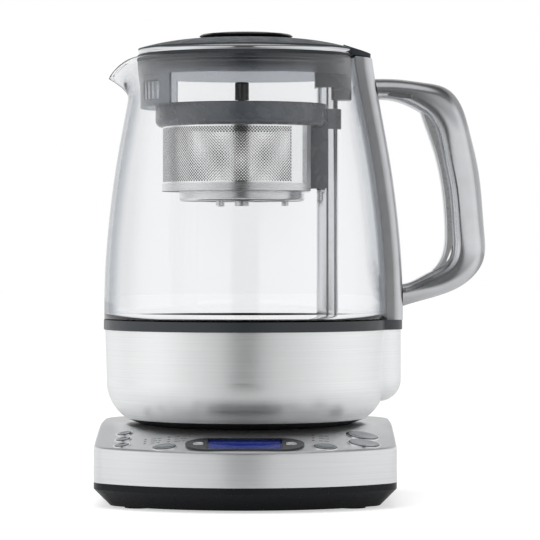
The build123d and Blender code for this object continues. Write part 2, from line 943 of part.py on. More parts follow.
with BuildPart() as heating_element:
    diffuser_under = plate_under - diffuser_thickness
    with BuildSketch(side_section):
        with Locations((element_ring_radius, diffuser_under - element_radius * 0.8)):
            Circle(element_radius)
        with Locations((element_ring_radius, diffuser_under + element_radius)):
            Rectangle(element_radius * 2, element_radius * 2, mode=Mode.SUBTRACT)
    revolve(axis=jug_axis, revolution_arc=360 - element_gap_angle)
keep(heating_element, "heating_element")

with BuildPart() as temperature_sensor:
    with BuildSketch(level(diffuser_under)):
        Circle(sensor_radius)
    extrude(amount=-sensor_height)
keep(temperature_sensor, "temperature_sensor")

# ---------------------------------------------------------------- glass vessel


def glass_curve_points(shift):
    """Points up the side of the glass, drawn in by shift."""
    height = glass_top - collar_top
    spread = glass_foot_radius - glass_mouth_radius
    shape = ((0.0, 0.0), (0.155, 0.02), (0.38, 0.16), (0.61, 0.42), (0.845, 0.785), (1.0, 1.0))
    return [(glass_foot_radius - spread * inward - shift, collar_top + height * up) for up, inward in shape]


def glass_radius(height):
    """Outer radius of the glass at a height, read between the points of its curve."""
    points = glass_curve_points(0)
    for (low_radius, low), (high_radius, high) in zip(points, points[1:]):
        if height <= high:
            share = (height - low) / (high - low)
            return low_radius + share * (high_radius - low_radius)
    return glass_mouth_radius


def glass_body(shift):
    """Solid of revolution inside the glass surface, drawn in by shift."""
    with BuildPart() as body:
        with BuildSketch(side_section):
            with BuildLine():
                wall = Spline(*glass_curve_points(shift), tangents=((0, 1), (-0.13, 1)))
                Polyline(wall @ 1, (0, glass_top), (0, collar_top), wall @ 0)
            make_face()
        revolve(axis=jug_axis)
    return body.part


def spout_body(shift):
    """Solid of the pouring lip: a rounded wedge that grows out of the glass towards its top."""
    drop = spout_tip_height - spout_root_height
    sections = (
        (spout_root_height, glass_mouth_radius + spout_root_proud, spout_half_width * 0.5),
        (
            spout_root_height + drop * spout_middle,
            glass_mouth_radius + spout_middle_proud,
            spout_half_width * 0.75,
        ),
        (spout_tip_height, spout_reach, spout_half_width),
        (glass_top, spout_reach + drop * 0.35, spout_half_width * 1.2),
    )
    root_x = -glass_mouth_radius * 0.6
    with BuildPart() as lip:
        for height, reach, half_width in sections:
            with BuildSketch(level(height)):
                Polygon((root_x, -half_width), (root_x, half_width), (-reach + shift * 1.15, 0), align=None)
        loft()
    return lip.part


with BuildPart() as glass_vessel:
    add(glass_body(0))
    add(spout_body(0))
    with BuildSketch(side_section):
        with BuildLine():
            fall = ThreePointArc(
                (-glass_mouth_radius + spout_fall_start, glass_top),
                (-glass_mouth_radius * 0.35 - spout_reach * 0.65, glass_top - spout_fall),
                (-spout_reach - spout_trim, spout_tip_height - spout_trim),
            )
            Polyline(
                fall @ 1,
                (-spout_reach - spout_cut, spout_tip_height),
                (-spout_reach - spout_cut, glass_top + spout_fall),
                (-glass_mouth_radius + spout_fall_start, glass_top + spout_fall),
                fall @ 0,
            )
        make_face()
    extrude(amount=glass_foot_radius, both=True, mode=Mode.SUBTRACT)
    add(glass_body(glass_wall), mode=Mode.SUBTRACT)
    add(spout_body(glass_wall), mode=Mode.SUBTRACT)
keep(glass_vessel, "glass_vessel")

with BuildPart() as glass_seal:
    with BuildSketch(side_section):
        seal_radius = glass_foot_radius - glass_wall - glass_seal_fit
        Polygon(
            (seal_radius - glass_seal_width, collar_top),
            (seal_radius, collar_top),
            (seal_radius, collar_top + glass_seal_height),
            align=None,
        )
    revolve(axis=jug_axis)
keep(glass_seal, "glass_seal")

# ---------------------------------------------------------------- lift post, motor, screw, carriage
post_bottom = plate_under - tube_socket
bracket_bottom = plate_under - bracket_height
tube_bore = post_radius - post_wall

with BuildPart() as lift_post:
    with BuildSketch(side_section):
        Polygon(
            (post_x + tube_bore, post_bottom),
            (post_x + post_radius, post_bottom),
            (post_x + post_radius, collar_top),
            (post_x + post_radius + post_flare, collar_top),
            (post_x + post_radius, collar_top + post_flare),
            (post_x + post_radius, post_top),
            (post_x + tube_bore, post_top),
            align=None,
        )
    revolve(axis=post_axis)
keep(lift_post, "lift_post")

with BuildPart() as post_cap:
    with BuildSketch(side_section):
        Polygon(
            (post_x, post_top - 2 * post_cap_height),
            (post_x + tube_bore, post_top - 2 * post_cap_height),
            (post_x + tube_bore, post_top),
            (post_x + post_radius, post_top),
            (post_x + post_radius - post_cap_height, post_top + post_cap_height),
            (post_x, post_top + post_cap_height),
            align=None,
        )
    revolve(axis=post_axis)
    with BuildSketch(level(post_top - 2 * post_cap_height)):
        with Locations((post_x, 0)):
            Circle(lead_screw_radius + running_fit)
    extrude(amount=post_cap_height, mode=Mode.SUBTRACT)
keep(post_cap, "post_cap")

with BuildPart() as motor_bracket:
    with BuildSketch(level(bracket_bottom)):
        with Locations((post_x, 0)):
            Circle(bracket_radius)
    extrude(amount=bracket_height)
    with BuildSketch(level(plate_under)):
        with Locations((post_x, 0)):
            Circle(post_radius)
    extrude(amount=-tube_socket, mode=Mode.SUBTRACT)
    with BuildSketch(level(bracket_bottom)):
        with Locations((post_x, 0)):
            Circle(bracket_radius - bracket_wall)
    extrude(amount=bracket_height - tube_socket, mode=Mode.SUBTRACT)
keep(motor_bracket, "motor_bracket")

with BuildPart() as lift_motor:
    with BuildSketch(level(bracket_bottom)):
        with Locations((post_x, 0)):
            Circle(motor_radius)
    extrude(amount=-motor_length)
    with BuildSketch(level(bracket_bottom)):
        with Locations((post_x, 0)):
            Circle(motor_shaft_radius)
    extrude(amount=motor_shaft_length)
keep(lift_motor, "lift_motor")

hub_start = bracket_bottom + moving_gap
with BuildPart() as lift_screw:
    with BuildSketch(level(hub_start)):
        with Locations((post_x, 0)):
            Circle(lead_screw_hub)
    extrude(amount=lead_screw_hub_height)
    with BuildSketch(level(hub_start)):
        with Locations((post_x, 0)):
            Circle(lead_screw_radius)
    extrude(amount=post_top - 2 * post_cap_height + post_cap_height / 2 - hub_start)
    with BuildSketch(level(hub_start)):
        with Locations((post_x, 0)):
            Circle(motor_shaft_radius + running_fit)
    extrude(amount=motor_shaft_length, mode=Mode.SUBTRACT)
keep(lift_screw, "lift_screw")

carriage_radius = tube_bore - running_fit
magnet_inner = carriage_radius - magnet_ring_wall
carriage_top = rim_bottom - (column_drop - carriage_length) / 2
carriage_bottom = carriage_top - carriage_length
magnet_ring_length = (carriage_length - 3 * carriage_flange) / 2
magnet_ring_starts = (
    carriage_bottom + carriage_flange,
    carriage_bottom + 2 * carriage_flange + magnet_ring_length,
)

with BuildPart() as lift_carriage:
    with BuildSketch(level(carriage_bottom)):
        with Locations((post_x, 0)):
            Circle(carriage_radius)
    extrude(amount=carriage_length)
    for start in magnet_ring_starts:
        with BuildSketch(level(start)):
            with Locations((post_x, 0)):
                Circle(carriage_radius)
                Circle(magnet_inner, mode=Mode.SUBTRACT)
        extrude(amount=magnet_ring_length, mode=Mode.SUBTRACT)
    with BuildSketch(level(carriage_bottom)):
        with Locations((post_x, 0)):
            Circle(lead_screw_radius + running_fit)
    extrude(amount=carriage_length, mode=Mode.SUBTRACT)
keep(lift_carriage, "lift_carriage")

with BuildPart() as carriage_magnets:
    for start in magnet_ring_starts:
        with BuildSketch(level(start)):
            with Locations((post_x, 0)):
                Circle(carriage_radius)
                Circle(magnet_inner, mode=Mode.SUBTRACT)
        extrude(amount=magnet_ring_length)
keep(carriage_magnets, "carriage_magnets")

# ---------------------------------------------------------------- tea basket
post_clear = post_radius + moving_gap
ledge_height = rim_top - ledge_drop
rim_bore = mesh_radius - ledge_width
lug_top = rim_top - lug_drop


def basket_plan(radius, flat):
    """Plan of the basket: a circle with a flat side that stands before the lift post."""
    with BuildSketch() as plan:
        with Locations((basket_x, 0)):
            Circle(radius)
        with Locations((flat, 0)):
            Rectangle(radius * 2, radius * 2, align=(Align.MIN, Align.CENTER), mode=Mode.SUBTRACT)
    return plan.sketch


with BuildPart() as basket_rim:
    with BuildSketch(level(rim_bottom)):
        with Locations((basket_x, 0)):
            Circle(rim_radius)
    extrude(amount=rim_top - rim_bottom)
    fillet(basket_rim.edges().sort_by(Axis.Z)[0], radius=rim_round)
    fillet(basket_rim.edges().sort_by(Axis.Z)[-1], radius=rim_edge)
    # lug round the post, and the column that rides along it
    with BuildSketch(level(lug_top - lug_height)):
        with Locations((post_x, 0)):
            Circle(post_clear + lug_wall)
        with Locations((basket_flat_x, 0)):
            Rectangle(post_x - basket_flat_x, 2 * (post_clear + lug_wall), align=(Align.MIN, Align.CENTER))
    extrude(amount=lug_height)
    with BuildSketch(level(rim_bottom + rim_round)):
        with Locations((basket_flat_x, 0)):
            Rectangle(post_x - basket_flat_x, 2 * (post_clear + lug_wall), align=(Align.MIN, Align.CENTER))
    extrude(amount=-column_drop - rim_round)
    with BuildSketch(level(rim_bottom - column_drop)):
        with Locations((post_x, 0)):
            Circle(post_clear)
    extrude(amount=rim_top, mode=Mode.SUBTRACT)
    with BuildSketch(level(rim_bottom)):
        add(basket_plan(mesh_radius, basket_flat_x))
    extrude(amount=mesh_seat, mode=Mode.SUBTRACT)
    with BuildSketch(level(rim_bottom)):
        add(basket_plan(rim_bore - ledge_width, basket_flat_x - ledge_width))
    extrude(amount=rim_top - rim_bottom, mode=Mode.SUBTRACT)
    with BuildSketch(level(ledge_height)):
        add(basket_plan(rim_bore, basket_flat_x))
    extrude(amount=rim_top, mode=Mode.SUBTRACT)
    magnet_top = carriage_top - (carriage_length - magnet_length) / 2
    with BuildSketch(level(magnet_top - magnet_length)):
        with Locations((basket_flat_x, 0)):
            Rectangle(magnet_thickness, magnet_width, align=(Align.MIN, Align.CENTER))
    extrude(amount=magnet_length, mode=Mode.SUBTRACT)
keep(basket_rim, "basket_rim")

with BuildPart() as basket_magnet:
    with BuildSketch(level(magnet_top - magnet_length)):
        with Locations((basket_flat_x, 0)):
            Rectangle(magnet_thickness, magnet_width, align=(Align.MIN, Align.CENTER))
    extrude(amount=magnet_length)
keep(basket_magnet, "basket_magnet")

mesh_bottom = band_bottom + floor_thickness
with BuildPart() as basket_mesh:
    with BuildSketch(level(mesh_bottom)):
        add(basket_plan(mesh_radius, basket_flat_x))
        add(basket_plan(mesh_radius - mesh_wall, basket_flat_x - mesh_wall), mode=Mode.SUBTRACT)
    extrude(amount=rim_bottom + mesh_seat - mesh_bottom)
keep(basket_mesh, "basket_mesh")

with BuildPart() as basket_floor:
    with BuildSketch(level(band_bottom)):
        add(basket_plan(mesh_radius + band_wall, basket_flat_x))
    extrude(amount=band_height)
    with BuildSketch(level(mesh_bottom)):
        add(basket_plan(mesh_radius, basket_flat_x))
    extrude(amount=band_height, mode=Mode.SUBTRACT)
    with BuildSketch(level(band_bottom)):
        with Locations((basket_x, 0)):
            Circle(step_cup_radius)
    extrude(amount=-step_cup_depth)
    fillet(basket_floor.edges().filter_by(GeomType.CIRCLE).sort_by(Axis.Z)[0], radius=step_cup_round)
    with BuildSketch(level(mesh_bottom)):
        with Locations((basket_x, 0)):
            Circle(step_cup_radius - floor_thickness)
    extrude(amount=-step_cup_depth, mode=Mode.SUBTRACT)
    with BuildSketch(level(band_bottom - step_cup_depth)):
        with Locations((basket_x, 0)):
            with PolarLocations(nub_ring, 3):
                Circle(nub_radius)
            Circle(nub_radius * 2)
    extrude(amount=-nub_height)
keep(basket_floor, "basket_floor")

with BuildPart() as basket_lid:
    with BuildSketch(level(ledge_height)):
        add(basket_plan(rim_bore - moving_gap, basket_flat_x - moving_gap))
    extrude(amount=basket_lid_thickness)
keep(basket_lid, "basket_lid")

with BuildPart() as basket_knob:
    with BuildSketch(level(ledge_height + basket_lid_thickness)):
        with Locations((basket_x, 0)):
            Circle(knob_stalk_radius)
    extrude(amount=knob_top - ledge_height - basket_lid_thickness)
    with BuildSketch(level(knob_bottom)):
        with Locations((basket_x, 0)):
            Circle(knob_radius)
    extrude(amount=knob_top - knob_bottom)
    fillet(basket_knob.edges().filter_by(GeomType.CIRCLE).sort_by(Axis.Z)[-1], radius=knob_round)
keep(basket_knob, "basket_knob")

# ---------------------------------------------------------------- jug lid
lid_seat = glass_top
ring_bottom = lid_seat + lid_seal_flange
ring_top = ring_bottom + lid_ring_height
dome_top = ring_top + lid_dome_rise
skirt_top = lid_seat - lid_seal_depth
ring_inner = lid_radius - lid_ring_width

with BuildPart() as lid_dome:
    with BuildSketch(side_section):
        with BuildLine():
            edge = Line((lid_radius, ring_top), (lid_radius, ring_top + lid_dome_shoulder))
            swell = ThreePointArc(
                edge @ 1, (lid_radius * 0.75, dome_top - lid_dome_rise * 0.3), (grip_radius, dome_top)
            )
            Polyline(swell @ 1, (0, dome_top), (0, ring_top), edge @ 0)
        make_face()
    revolve(axis=jug_axis)
    # tail that slopes back over the top of the spine
    with BuildSketch(side_section):
        Polygon(
            (lid_radius - tail_root, ring_bottom),
            (glass_mouth_radius, ring_bottom),
            (tail_reach, spine_top - spine_fall + tail_gap),
            (tail_reach, ring_bottom + tail_tip_rise),
            (lid_radius - tail_root, ring_top + tail_root_rise),
            align=None,
        )
    extrude(amount=tail_half_width, both=True)
    fillet(lid_dome.edges().filter_by(Axis.Z).group_by(Axis.X)[-1], radius=tail_half_width / 2)
    with BuildSketch(level(ring_bottom)):
        Circle(lid_radius)
    extrude(amount=lid_ring_height, mode=Mode.SUBTRACT)
    with BuildSketch(level(ring_top)):
        Circle(lid_cavity_radius)
    extrude(amount=lid_dome_cavity, mode=Mode.SUBTRACT)
keep(lid_dome, "lid_dome")

with BuildPart() as lid_ring:
    with BuildSketch(level(ring_bottom)):
        Circle(lid_radius)
        Circle(ring_inner, mode=Mode.SUBTRACT)
    extrude(amount=lid_ring_height)
keep(lid_ring, "lid_ring")

with BuildPart() as lid_seal:
    with BuildSketch(level(lid_seat)):
        Circle(lid_radius + lid_seal_overhang)
        Circle(ring_inner, mode=Mode.SUBTRACT)
    extrude(amount=lid_seal_flange)
    with BuildSketch(level(lid_seat)):
        Circle(mouth_bore - moving_gap)
        Circle(ring_inner, mode=Mode.SUBTRACT)
    extrude(amount=-lid_seal_depth)
keep(lid_seal, "lid_seal")

with BuildPart() as lid_grip:
    with BuildSketch(side_section):
        with BuildLine():
            crown = ThreePointArc(
                (0, dome_top + grip_height),
                (grip_radius * 0.6, dome_top + grip_height * 0.88),
                (grip_radius - grip_edge, dome_top + grip_height * 0.62),
            )
            Polyline(
                crown @ 1,
                (grip_radius, dome_top + grip_height * 0.42),
                (grip_radius - grip_undercut, dome_top),
                (0, dome_top),
                crown @ 0,
            )
        make_face()
    revolve(axis=jug_axis)
keep(lid_grip, "lid_grip")

with BuildPart() as lid_skirt:
    with BuildSketch(side_section):
        Polygon(
            (skirt_radius - skirt_wall, skirt_bottom),
            (skirt_radius, skirt_bottom),
            (skirt_radius, skirt_top),
            (skirt_neck_radius, skirt_top),
            (skirt_neck_radius, ring_top),
            (skirt_neck_radius - skirt_wall, ring_top),
            (skirt_neck_radius - skirt_wall, skirt_top - skirt_wall),
            (skirt_radius - skirt_wall, skirt_top - skirt_wall),
            align=None,
        )
    revolve(axis=jug_axis)
keep(lid_skirt, "lid_skirt")

with BuildPart() as post_guide:
    # block that closes over the head of the lift post, with a hook down its far side
    guide_start = post_x - post_radius - guide_wall
    with BuildSketch(level(guide_bottom)):
        with Locations((guide_start, 0)):
            Rectangle(guide_reach - guide_start, 2 * guide_half_width, align=(Align.MIN, Align.CENTER))
    extrude(amount=skirt_top - skirt_wall - guide_bottom)
    with BuildSketch(level(hook_bottom)):
        with Locations((hook_start, 0)):
            Rectangle(hook_reach - hook_start, 2 * hook_half_width, align=(Align.MIN, Align.CENTER))
    extrude(amount=skirt_bottom - moving_gap - hook_bottom)
    with BuildSketch(level(hook_bottom)):
        with Locations((post_x, 0)):
            Circle(post_radius + hook_gap)
    extrude(amount=post_top + post_cap_height + hook_gap - hook_bottom, mode=Mode.SUBTRACT)
keep(post_guide, "post_guide")

with BuildPart() as spout_filter:
    with BuildSketch(level(filter_bottom)):
        Circle(skirt_radius)
        Circle(skirt_radius - skirt_wall, mode=Mode.SUBTRACT)
        wedge_reach = skirt_radius * 2
        rise = wedge_reach * math.tan(math.radians(filter_half_angle))
        Polygon((0, 0), (-wedge_reach, rise), (-wedge_reach, -rise), align=None, mode=Mode.INTERSECT)
    extrude(amount=skirt_bottom - filter_bottom)
    spout_view = Plane(
        origin=(jug_x, jug_y, skirt_bottom - filter_drop / 2), x_dir=(0, 1, 0), z_dir=(-1, 0, 0)
    )
    with BuildSketch(spout_view):
        for side in (-1, 1):
            with Locations((side * filter_window, 0)):
                with GridLocations(filter_slot_pitch, 1, filter_slots, 1):
                    SlotOverall(filter_slot_length, filter_slot_width, rotation=90)
    extrude(amount=wedge_reach, mode=Mode.SUBTRACT)
keep(spout_filter, "spout_filter")

# ---------------------------------------------------------------- spine and handle
# Outlines in the plane through the jug axis and the handle, as shares of the box they span
grip_outer_shape = [
    (0.0, 1.0), (0.22, 0.999), (0.46, 0.985), (0.68, 0.955), (0.79, 0.892), (0.867, 0.78),
    (0.948, 0.608), (1.0, 0.349), (0.988, 0.21), (0.852, 0.125), (0.462, 0.045), (0.18, 0.0),
]
grip_inner_shape = [
    (0.0, 1.0), (0.314, 0.994), (0.521, 0.957), (0.735, 0.888), (0.858, 0.729), (0.96, 0.514),
    (1.0, 0.297), (0.953, 0.128), (0.7, 0.06), (0.465, 0.009), (0.256, 0.0),
]
insert_shape = [
    (0.665, 0.934), (0.751, 0.837), (0.845, 0.729), (0.959, 0.514),
    (1.0, 0.297), (0.962, 0.157), (0.827, 0.076),
]
handle_root = glass_mouth_radius + spine_depth
handle_high = glass_top - handle_top_drop
handle_low = handle_high - handle_height
inner_high = handle_high - upper_arm_depth
inner_low = handle_low + lower_arm_depth
inner_reach = handle_reach - grip_depth
insert_reach = inner_reach - insert_thickness


def handle_curve(shape, reach, low, high):
    """Points of a handle outline between the spine and its reach."""
    return [(handle_root + (reach - handle_root) * across, low + (high - low) * up) for across, up in shape]


arm_grooves = (
    [(handle_root + across, inner_high + up) for across, up in zip(upper_groove, upper_groove_rise)],
    [(handle_root + across, inner_low + up) for across, up in zip(lower_groove, lower_groove_rise)],
)
handle_screw_heads = [
    (glass_radius(height) + handle_screw_seat, height)
    for height in (handle_high - handle_screw_inset, handle_low + handle_screw_inset + handle_screw_lift)
]


def spine_block():
    """Solid behind the outer face of the spine, out to the glass curve set off by the spine's depth."""
    with BuildPart() as block:
        with BuildSketch(side_section):
            with BuildLine():
                back = Spline(*glass_curve_points(-spine_depth), tangents=((0, 1), (-0.13, 1)))
                Polyline(
                    back @ 1,
                    (glass_mouth_radius, spine_top),
                    (mouth_bore, spine_top),
                    (mouth_bore, collar_top),
                    back @ 0,
                )
            make_face()
        extrude(amount=spine_half_width, both=True)
    return block.part


with BuildPart() as handle_spine:
    add(spine_block())
    outer_edges = handle_spine.edges().filter_by(GeomType.BSPLINE)
    fillet(outer_edges, radius=spine_round)
    # top that falls away from the glass
    with BuildSketch(side_section):
        Polygon(
            (glass_mouth_radius, spine_top),
            (handle_root + spine_depth, spine_top - 2 * spine_fall),
            (handle_root + spine_depth, spine_top),
            align=None,
        )
    extrude(amount=spine_half_width, both=True, mode=Mode.SUBTRACT)
    add(glass_body(-spine_fit), mode=Mode.SUBTRACT)
    with BuildSketch(level(glass_top)):
        Circle(glass_mouth_radius + spine_fit)
    extrude(amount=spine_top, mode=Mode.SUBTRACT)
    for reach, height in handle_screw_heads:
        with BuildSketch(Plane(origin=(jug_x + reach + tray_wall, jug_y, height), z_dir=(1, 0, 0))):
            Circle(screw_head_radius)
        extrude(amount=-handle_screw_length, mode=Mode.SUBTRACT)
        with BuildSketch(Plane(origin=(jug_x + reach, jug_y, height), z_dir=(1, 0, 0))):
            Circle(screw_radius)
        extrude(amount=handle_screw_length, mode=Mode.SUBTRACT)
keep(handle_spine, "handle_spine")

with BuildPart() as handle_grip:
    with BuildSketch(side_section):
        with BuildLine():
            outside = Spline(*handle_curve(grip_outer_shape, handle_reach, handle_low, handle_high))
            inside = Spline(*reversed(handle_curve(grip_inner_shape, inner_reach, inner_low, inner_high)))
            Line(outside @ 1, inside @ 0)
            Line(inside @ 1, outside @ 0)
        make_face()
    extrude(amount=handle_half_width, both=True)
    side_curves = handle_grip.faces().filter_by(Axis.Y).edges().filter_by(GeomType.BSPLINE)
    fillet(side_curves.sort_by(SortBy.LENGTH)[-2:], radius=handle_outer_round)
    side_curves = handle_grip.faces().filter_by(Axis.Y).edges().filter_by(GeomType.BSPLINE)
    fillet(side_curves.sort_by(SortBy.LENGTH)[:2], radius=handle_inner_round)
    add(spine_block(), mode=Mode.SUBTRACT)
    for side in (-1, 1):
        with BuildSketch(side_section.offset(side * handle_half_width)):
            for middle, end in arm_grooves:
                SlotCenterPoint(middle, end, groove_height)
        extrude(amount=-side * groove_deep, mode=Mode.SUBTRACT)
    for reach, height in handle_screw_heads:
        with BuildSketch(Plane(origin=(jug_x + reach, jug_y, height), z_dir=(1, 0, 0))):
            Circle(screw_radius)
        extrude(amount=handle_screw_length, mode=Mode.SUBTRACT)
keep(handle_grip, "handle_grip")

with BuildPart() as handle_insert:
    with BuildSketch(side_section):
        with BuildLine():
            face = Spline(*handle_curve(insert_shape, insert_reach, inner_low, inner_high))
            high_back = Vector(-(face % 0).Y, (face % 0).X) * insert_back
            low_back = Vector(-(face % 1).Y, (face % 1).X) * insert_back
            Polyline(
                face @ 1,
                face @ 1 + low_back,
                (insert_reach + 2 * insert_back, (face @ 0.6).Y),
                face @ 0 + high_back,
                face @ 0,
            )
        make_face()
    extrude(amount=insert_half_width, both=True)
    fillet(handle_insert.edges().filter_by(GeomType.BSPLINE), radius=insert_round)
    add(handle_grip.part, mode=Mode.SUBTRACT)
keep(handle_insert, "handle_insert")

with BuildPart() as handle_screws:
    for reach, height in handle_screw_heads:
        with BuildSketch(Plane(origin=(jug_x + reach, jug_y, height), z_dir=(1, 0, 0))):
            Circle(screw_head_radius)
        extrude(amount=tray_wall)
        with BuildSketch(Plane(origin=(jug_x + reach, jug_y, height), z_dir=(1, 0, 0))):
            Circle(screw_radius)
        extrude(amount=handle_screw_length)
keep(handle_screws, "handle_screws")

os.makedirs("parts", exist_ok=True)
for part, label in finished:
    export_step(part, f"parts/{label}.step")
print(len(finished), "nodes")
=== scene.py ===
"""Looks of the automatic tea maker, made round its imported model."""
import bpy
import math
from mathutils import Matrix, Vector


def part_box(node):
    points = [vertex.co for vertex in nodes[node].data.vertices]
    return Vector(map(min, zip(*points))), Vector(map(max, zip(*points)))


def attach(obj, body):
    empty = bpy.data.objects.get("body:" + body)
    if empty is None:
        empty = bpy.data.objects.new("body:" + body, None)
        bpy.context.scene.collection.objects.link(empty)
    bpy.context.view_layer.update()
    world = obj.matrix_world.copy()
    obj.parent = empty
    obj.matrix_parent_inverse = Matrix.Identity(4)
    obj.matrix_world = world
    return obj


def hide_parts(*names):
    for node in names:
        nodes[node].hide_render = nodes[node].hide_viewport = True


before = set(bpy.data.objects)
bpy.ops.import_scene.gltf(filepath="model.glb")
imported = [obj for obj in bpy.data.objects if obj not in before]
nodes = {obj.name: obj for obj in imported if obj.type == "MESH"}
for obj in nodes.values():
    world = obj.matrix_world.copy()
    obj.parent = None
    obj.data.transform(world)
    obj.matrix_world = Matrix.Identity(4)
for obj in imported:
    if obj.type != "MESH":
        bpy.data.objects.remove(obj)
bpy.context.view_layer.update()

# ---------------------------------------------------------------- sizes and places (metres)
MM = 0.001
JUG_X = -25.25 * MM
JUG_Y = 10.0 * MM

# glass, and the pouring lip that is thrown out of its mouth
GLASS_LOW, GLASS_HIGH = (corner.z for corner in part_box("glass_vessel"))
GLASS_WALL = 2.3 * MM
FOOT_RADIUS = 78.8 * MM
MOUTH_RADIUS = 61.6 * MM
# side of the glass, as shares of its height and of the way in from foot to mouth
GLASS_KNOTS = ((0.0, 0.0), (0.155, 0.02), (0.38, 0.16), (0.61, 0.42), (0.845, 0.785), (1.0, 1.0))
MOUTH_SLOPE = -0.13
LIP_THROW = 15.0 * MM
LIP_DROP = 10.7 * MM
LIP_ROOT = 222.0 * MM
LIP_FLARE = 1.6
# degrees from the lip's middle to its ends, and those over which its tip is rounded
LIP_SPREAD = 36.5
LIP_SOFT = 4.0

# basket wall: round but for a flat beside the post, with holes from an angle off the post
BASKET_X = JUG_X - 2.3 * MM
MESH_LOW, MESH_HIGH = (corner.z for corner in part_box("basket_mesh"))
MESH_RADIUS = 43.9 * MM
MESH_WALL = 0.45 * MM
FLAT_X = 37.8 * MM
HOLE_STEP = 0.85 * MM
HOLE_RADIUS = 0.52 * MM
HOLE_ROWS = 36
HOLES_FROM = math.radians(51.2)
# plain height under the holes, and how far the wall stops short of the node's two ends
PLAIN_BELOW = 3.6 * MM
LOWER_GAP = 0.3 * MM
UPPER_GAP = 0.2 * MM

# rounded box that the handle's insert runs round, in the jug's plane
HANDLE_MIDDLE = 170.2 * MM
HANDLE_LEAN = 0.128
HANDLE_CORE = 75.0 * MM
HANDLE_HALF_WIDTH = 20.3 * MM
HANDLE_HALF_HEIGHT = 31.7 * MM
HANDLE_CORNER = 20.0 * MM

# top of the base, which slopes from its round crest to its round front edge
PLATEAU_HEIGHT = 41.7 * MM
CREST_RADIUS = 85.0 * MM
CREST_SHIFT = 37.0 * MM
FRONT_REACH = 104.0 * MM
SLOPE_ANGLE = math.radians(9.4)
SLOPE_DROP = (FRONT_REACH - CREST_RADIUS + CREST_SHIFT) * math.tan(SLOPE_ANGLE)

# ---------------------------------------------------------------- camera
CAMERA_RIGHT = 13.3 * MM
CAMERA_BACK = 1700.0 * MM
CAMERA_HEIGHT = 138.0 * MM
FRAME_PIXELS = 540
FOCAL_PIXELS = 3058.0
# the horizon is this many pixels above the middle of the frame
HORIZON_RISE = 20.0
camera_data = bpy.data.cameras.new("camera")
camera_data.sensor_width = 36.0
camera_data.lens = FOCAL_PIXELS / FRAME_PIXELS * camera_data.sensor_width
camera_data.clip_start = 0.1
camera_data.clip_end = 50.0
camera = bpy.data.objects.new("camera", camera_data)
camera.location = (JUG_X + CAMERA_RIGHT, JUG_Y - CAMERA_BACK, CAMERA_HEIGHT)
camera.rotation_euler = (math.radians(90) - math.atan(HORIZON_RISE / FOCAL_PIXELS), 0, 0)
bpy.context.scene.collection.objects.link(camera)
bpy.context.scene.camera = camera
bpy.context.scene.view_settings.view_transform = "Standard"


# ---------------------------------------------------------------- node helpers
def add_node(tree, kind, inputs=None, **settings):
    """Add a node, set its properties, and set or link its inputs by name or number."""
    made = tree.nodes.new(kind)
    for name, value in settings.items():
        setattr(made, name, value)
    for key, value in (inputs or {}).items():
        socket = made.inputs[key]
        if isinstance(value, bpy.types.NodeSocket):
            tree.links.new(value, socket)
        else:
            socket.default_value = value
    return made


def maths(tree, operation, *values):
    """Math node on numbers or sockets; returns its output."""
    return add_node(tree, "ShaderNodeMath", dict(enumerate(values)), operation=operation).outputs[0]


def square(tree, value):
    """A value times itself."""
    return maths(tree, "MULTIPLY", value, value)


def vectors(tree, operation, *values):
    """Vector Math node on vectors or sockets; returns its vector output."""
    return add_node(tree, "ShaderNodeVectorMath", dict(enumerate(values)), operation=operation).outputs[0]


def length_of(tree, vector):
    """Length of a vector."""
    return add_node(tree, "ShaderNodeVectorMath", {0: vector}, operation="LENGTH").outputs["Value"]


def coordinates(tree, kind="Object"):
    """Place of the shaded point in the object's own coordinates, or in those of another kind."""
    return add_node(tree, "ShaderNodeTexCoord").outputs[kind]


def separate(tree, vector):
    """The X, Y and Z outputs of a vector."""
    return add_node(tree, "ShaderNodeSeparateXYZ", {0: vector}).outputs


def ramp(tree, factor, stops):
    """Colour ramp from (place, grey or colour) stops; returns its colour output."""
    made = add_node(tree, "ShaderNodeValToRGB", {"Fac": factor})
    line = made.color_ramp
    while len(line.elements) < len(stops):
        line.elements.new(0.5)
    for element, (place, value) in zip(line.elements, stops):
        element.position = place
        colour = (value,) * 3 if isinstance(value, (int, float)) else value
        element.color = (*colour, 1.0)
    return made.outputs["Color"]


def span(tree, value, low, high, to_low=0.0, to_high=1.0):
    """Map a value from one range to another, smoothly and clamped."""
    inputs = {"Value": value, "From Min": low, "From Max": high, "To Min": to_low, "To Max": to_high}
    return add_node(tree, "ShaderNodeMapRange", inputs, interpolation_type="SMOOTHSTEP").outputs["Result"]


def noise(tree, scale, detail=2.0, rough=0.5, offset=(0, 0, 0)):
    """Noise in the object's own coordinates, with one scale for all axes or one for each."""
    scale = scale if isinstance(scale, tuple) else (scale,) * 3
    inputs = {"Vector": coordinates(tree), "Location": offset, "Scale": scale}
    placed = add_node(tree, "ShaderNodeMapping", inputs).outputs["Vector"]
    inputs = {"Vector": placed, "Scale": 1.0, "Detail": detail, "Roughness": rough}
    return add_node(tree, "ShaderNodeTexNoise", inputs).outputs["Fac"]


def mix_numbers(tree, share, low, high):
    """Blend of two numbers; returns its output."""
    return add_node(tree, "ShaderNodeMix", {0: share, 2: low, 3: high}, data_type="FLOAT").outputs[0]


def mix_vectors(tree, share, low, high):
    """Blend of two vectors; returns its output."""
    return add_node(tree, "ShaderNodeMix", {0: share, 4: low, 5: high}, data_type="VECTOR").outputs[1]


def mix_colours(tree, share, low, high):
    """Blend of two colours; returns its output."""
    return add_node(tree, "ShaderNodeMix", {0: share, 6: low, 7: high}, data_type="RGBA").outputs[2]


def mix_shaders(tree, share, low, high):
    """Blend of two shaders; returns its output."""
    return add_node(tree, "ShaderNodeMixShader", {0: share, 1: low, 2: high}).outputs[0]


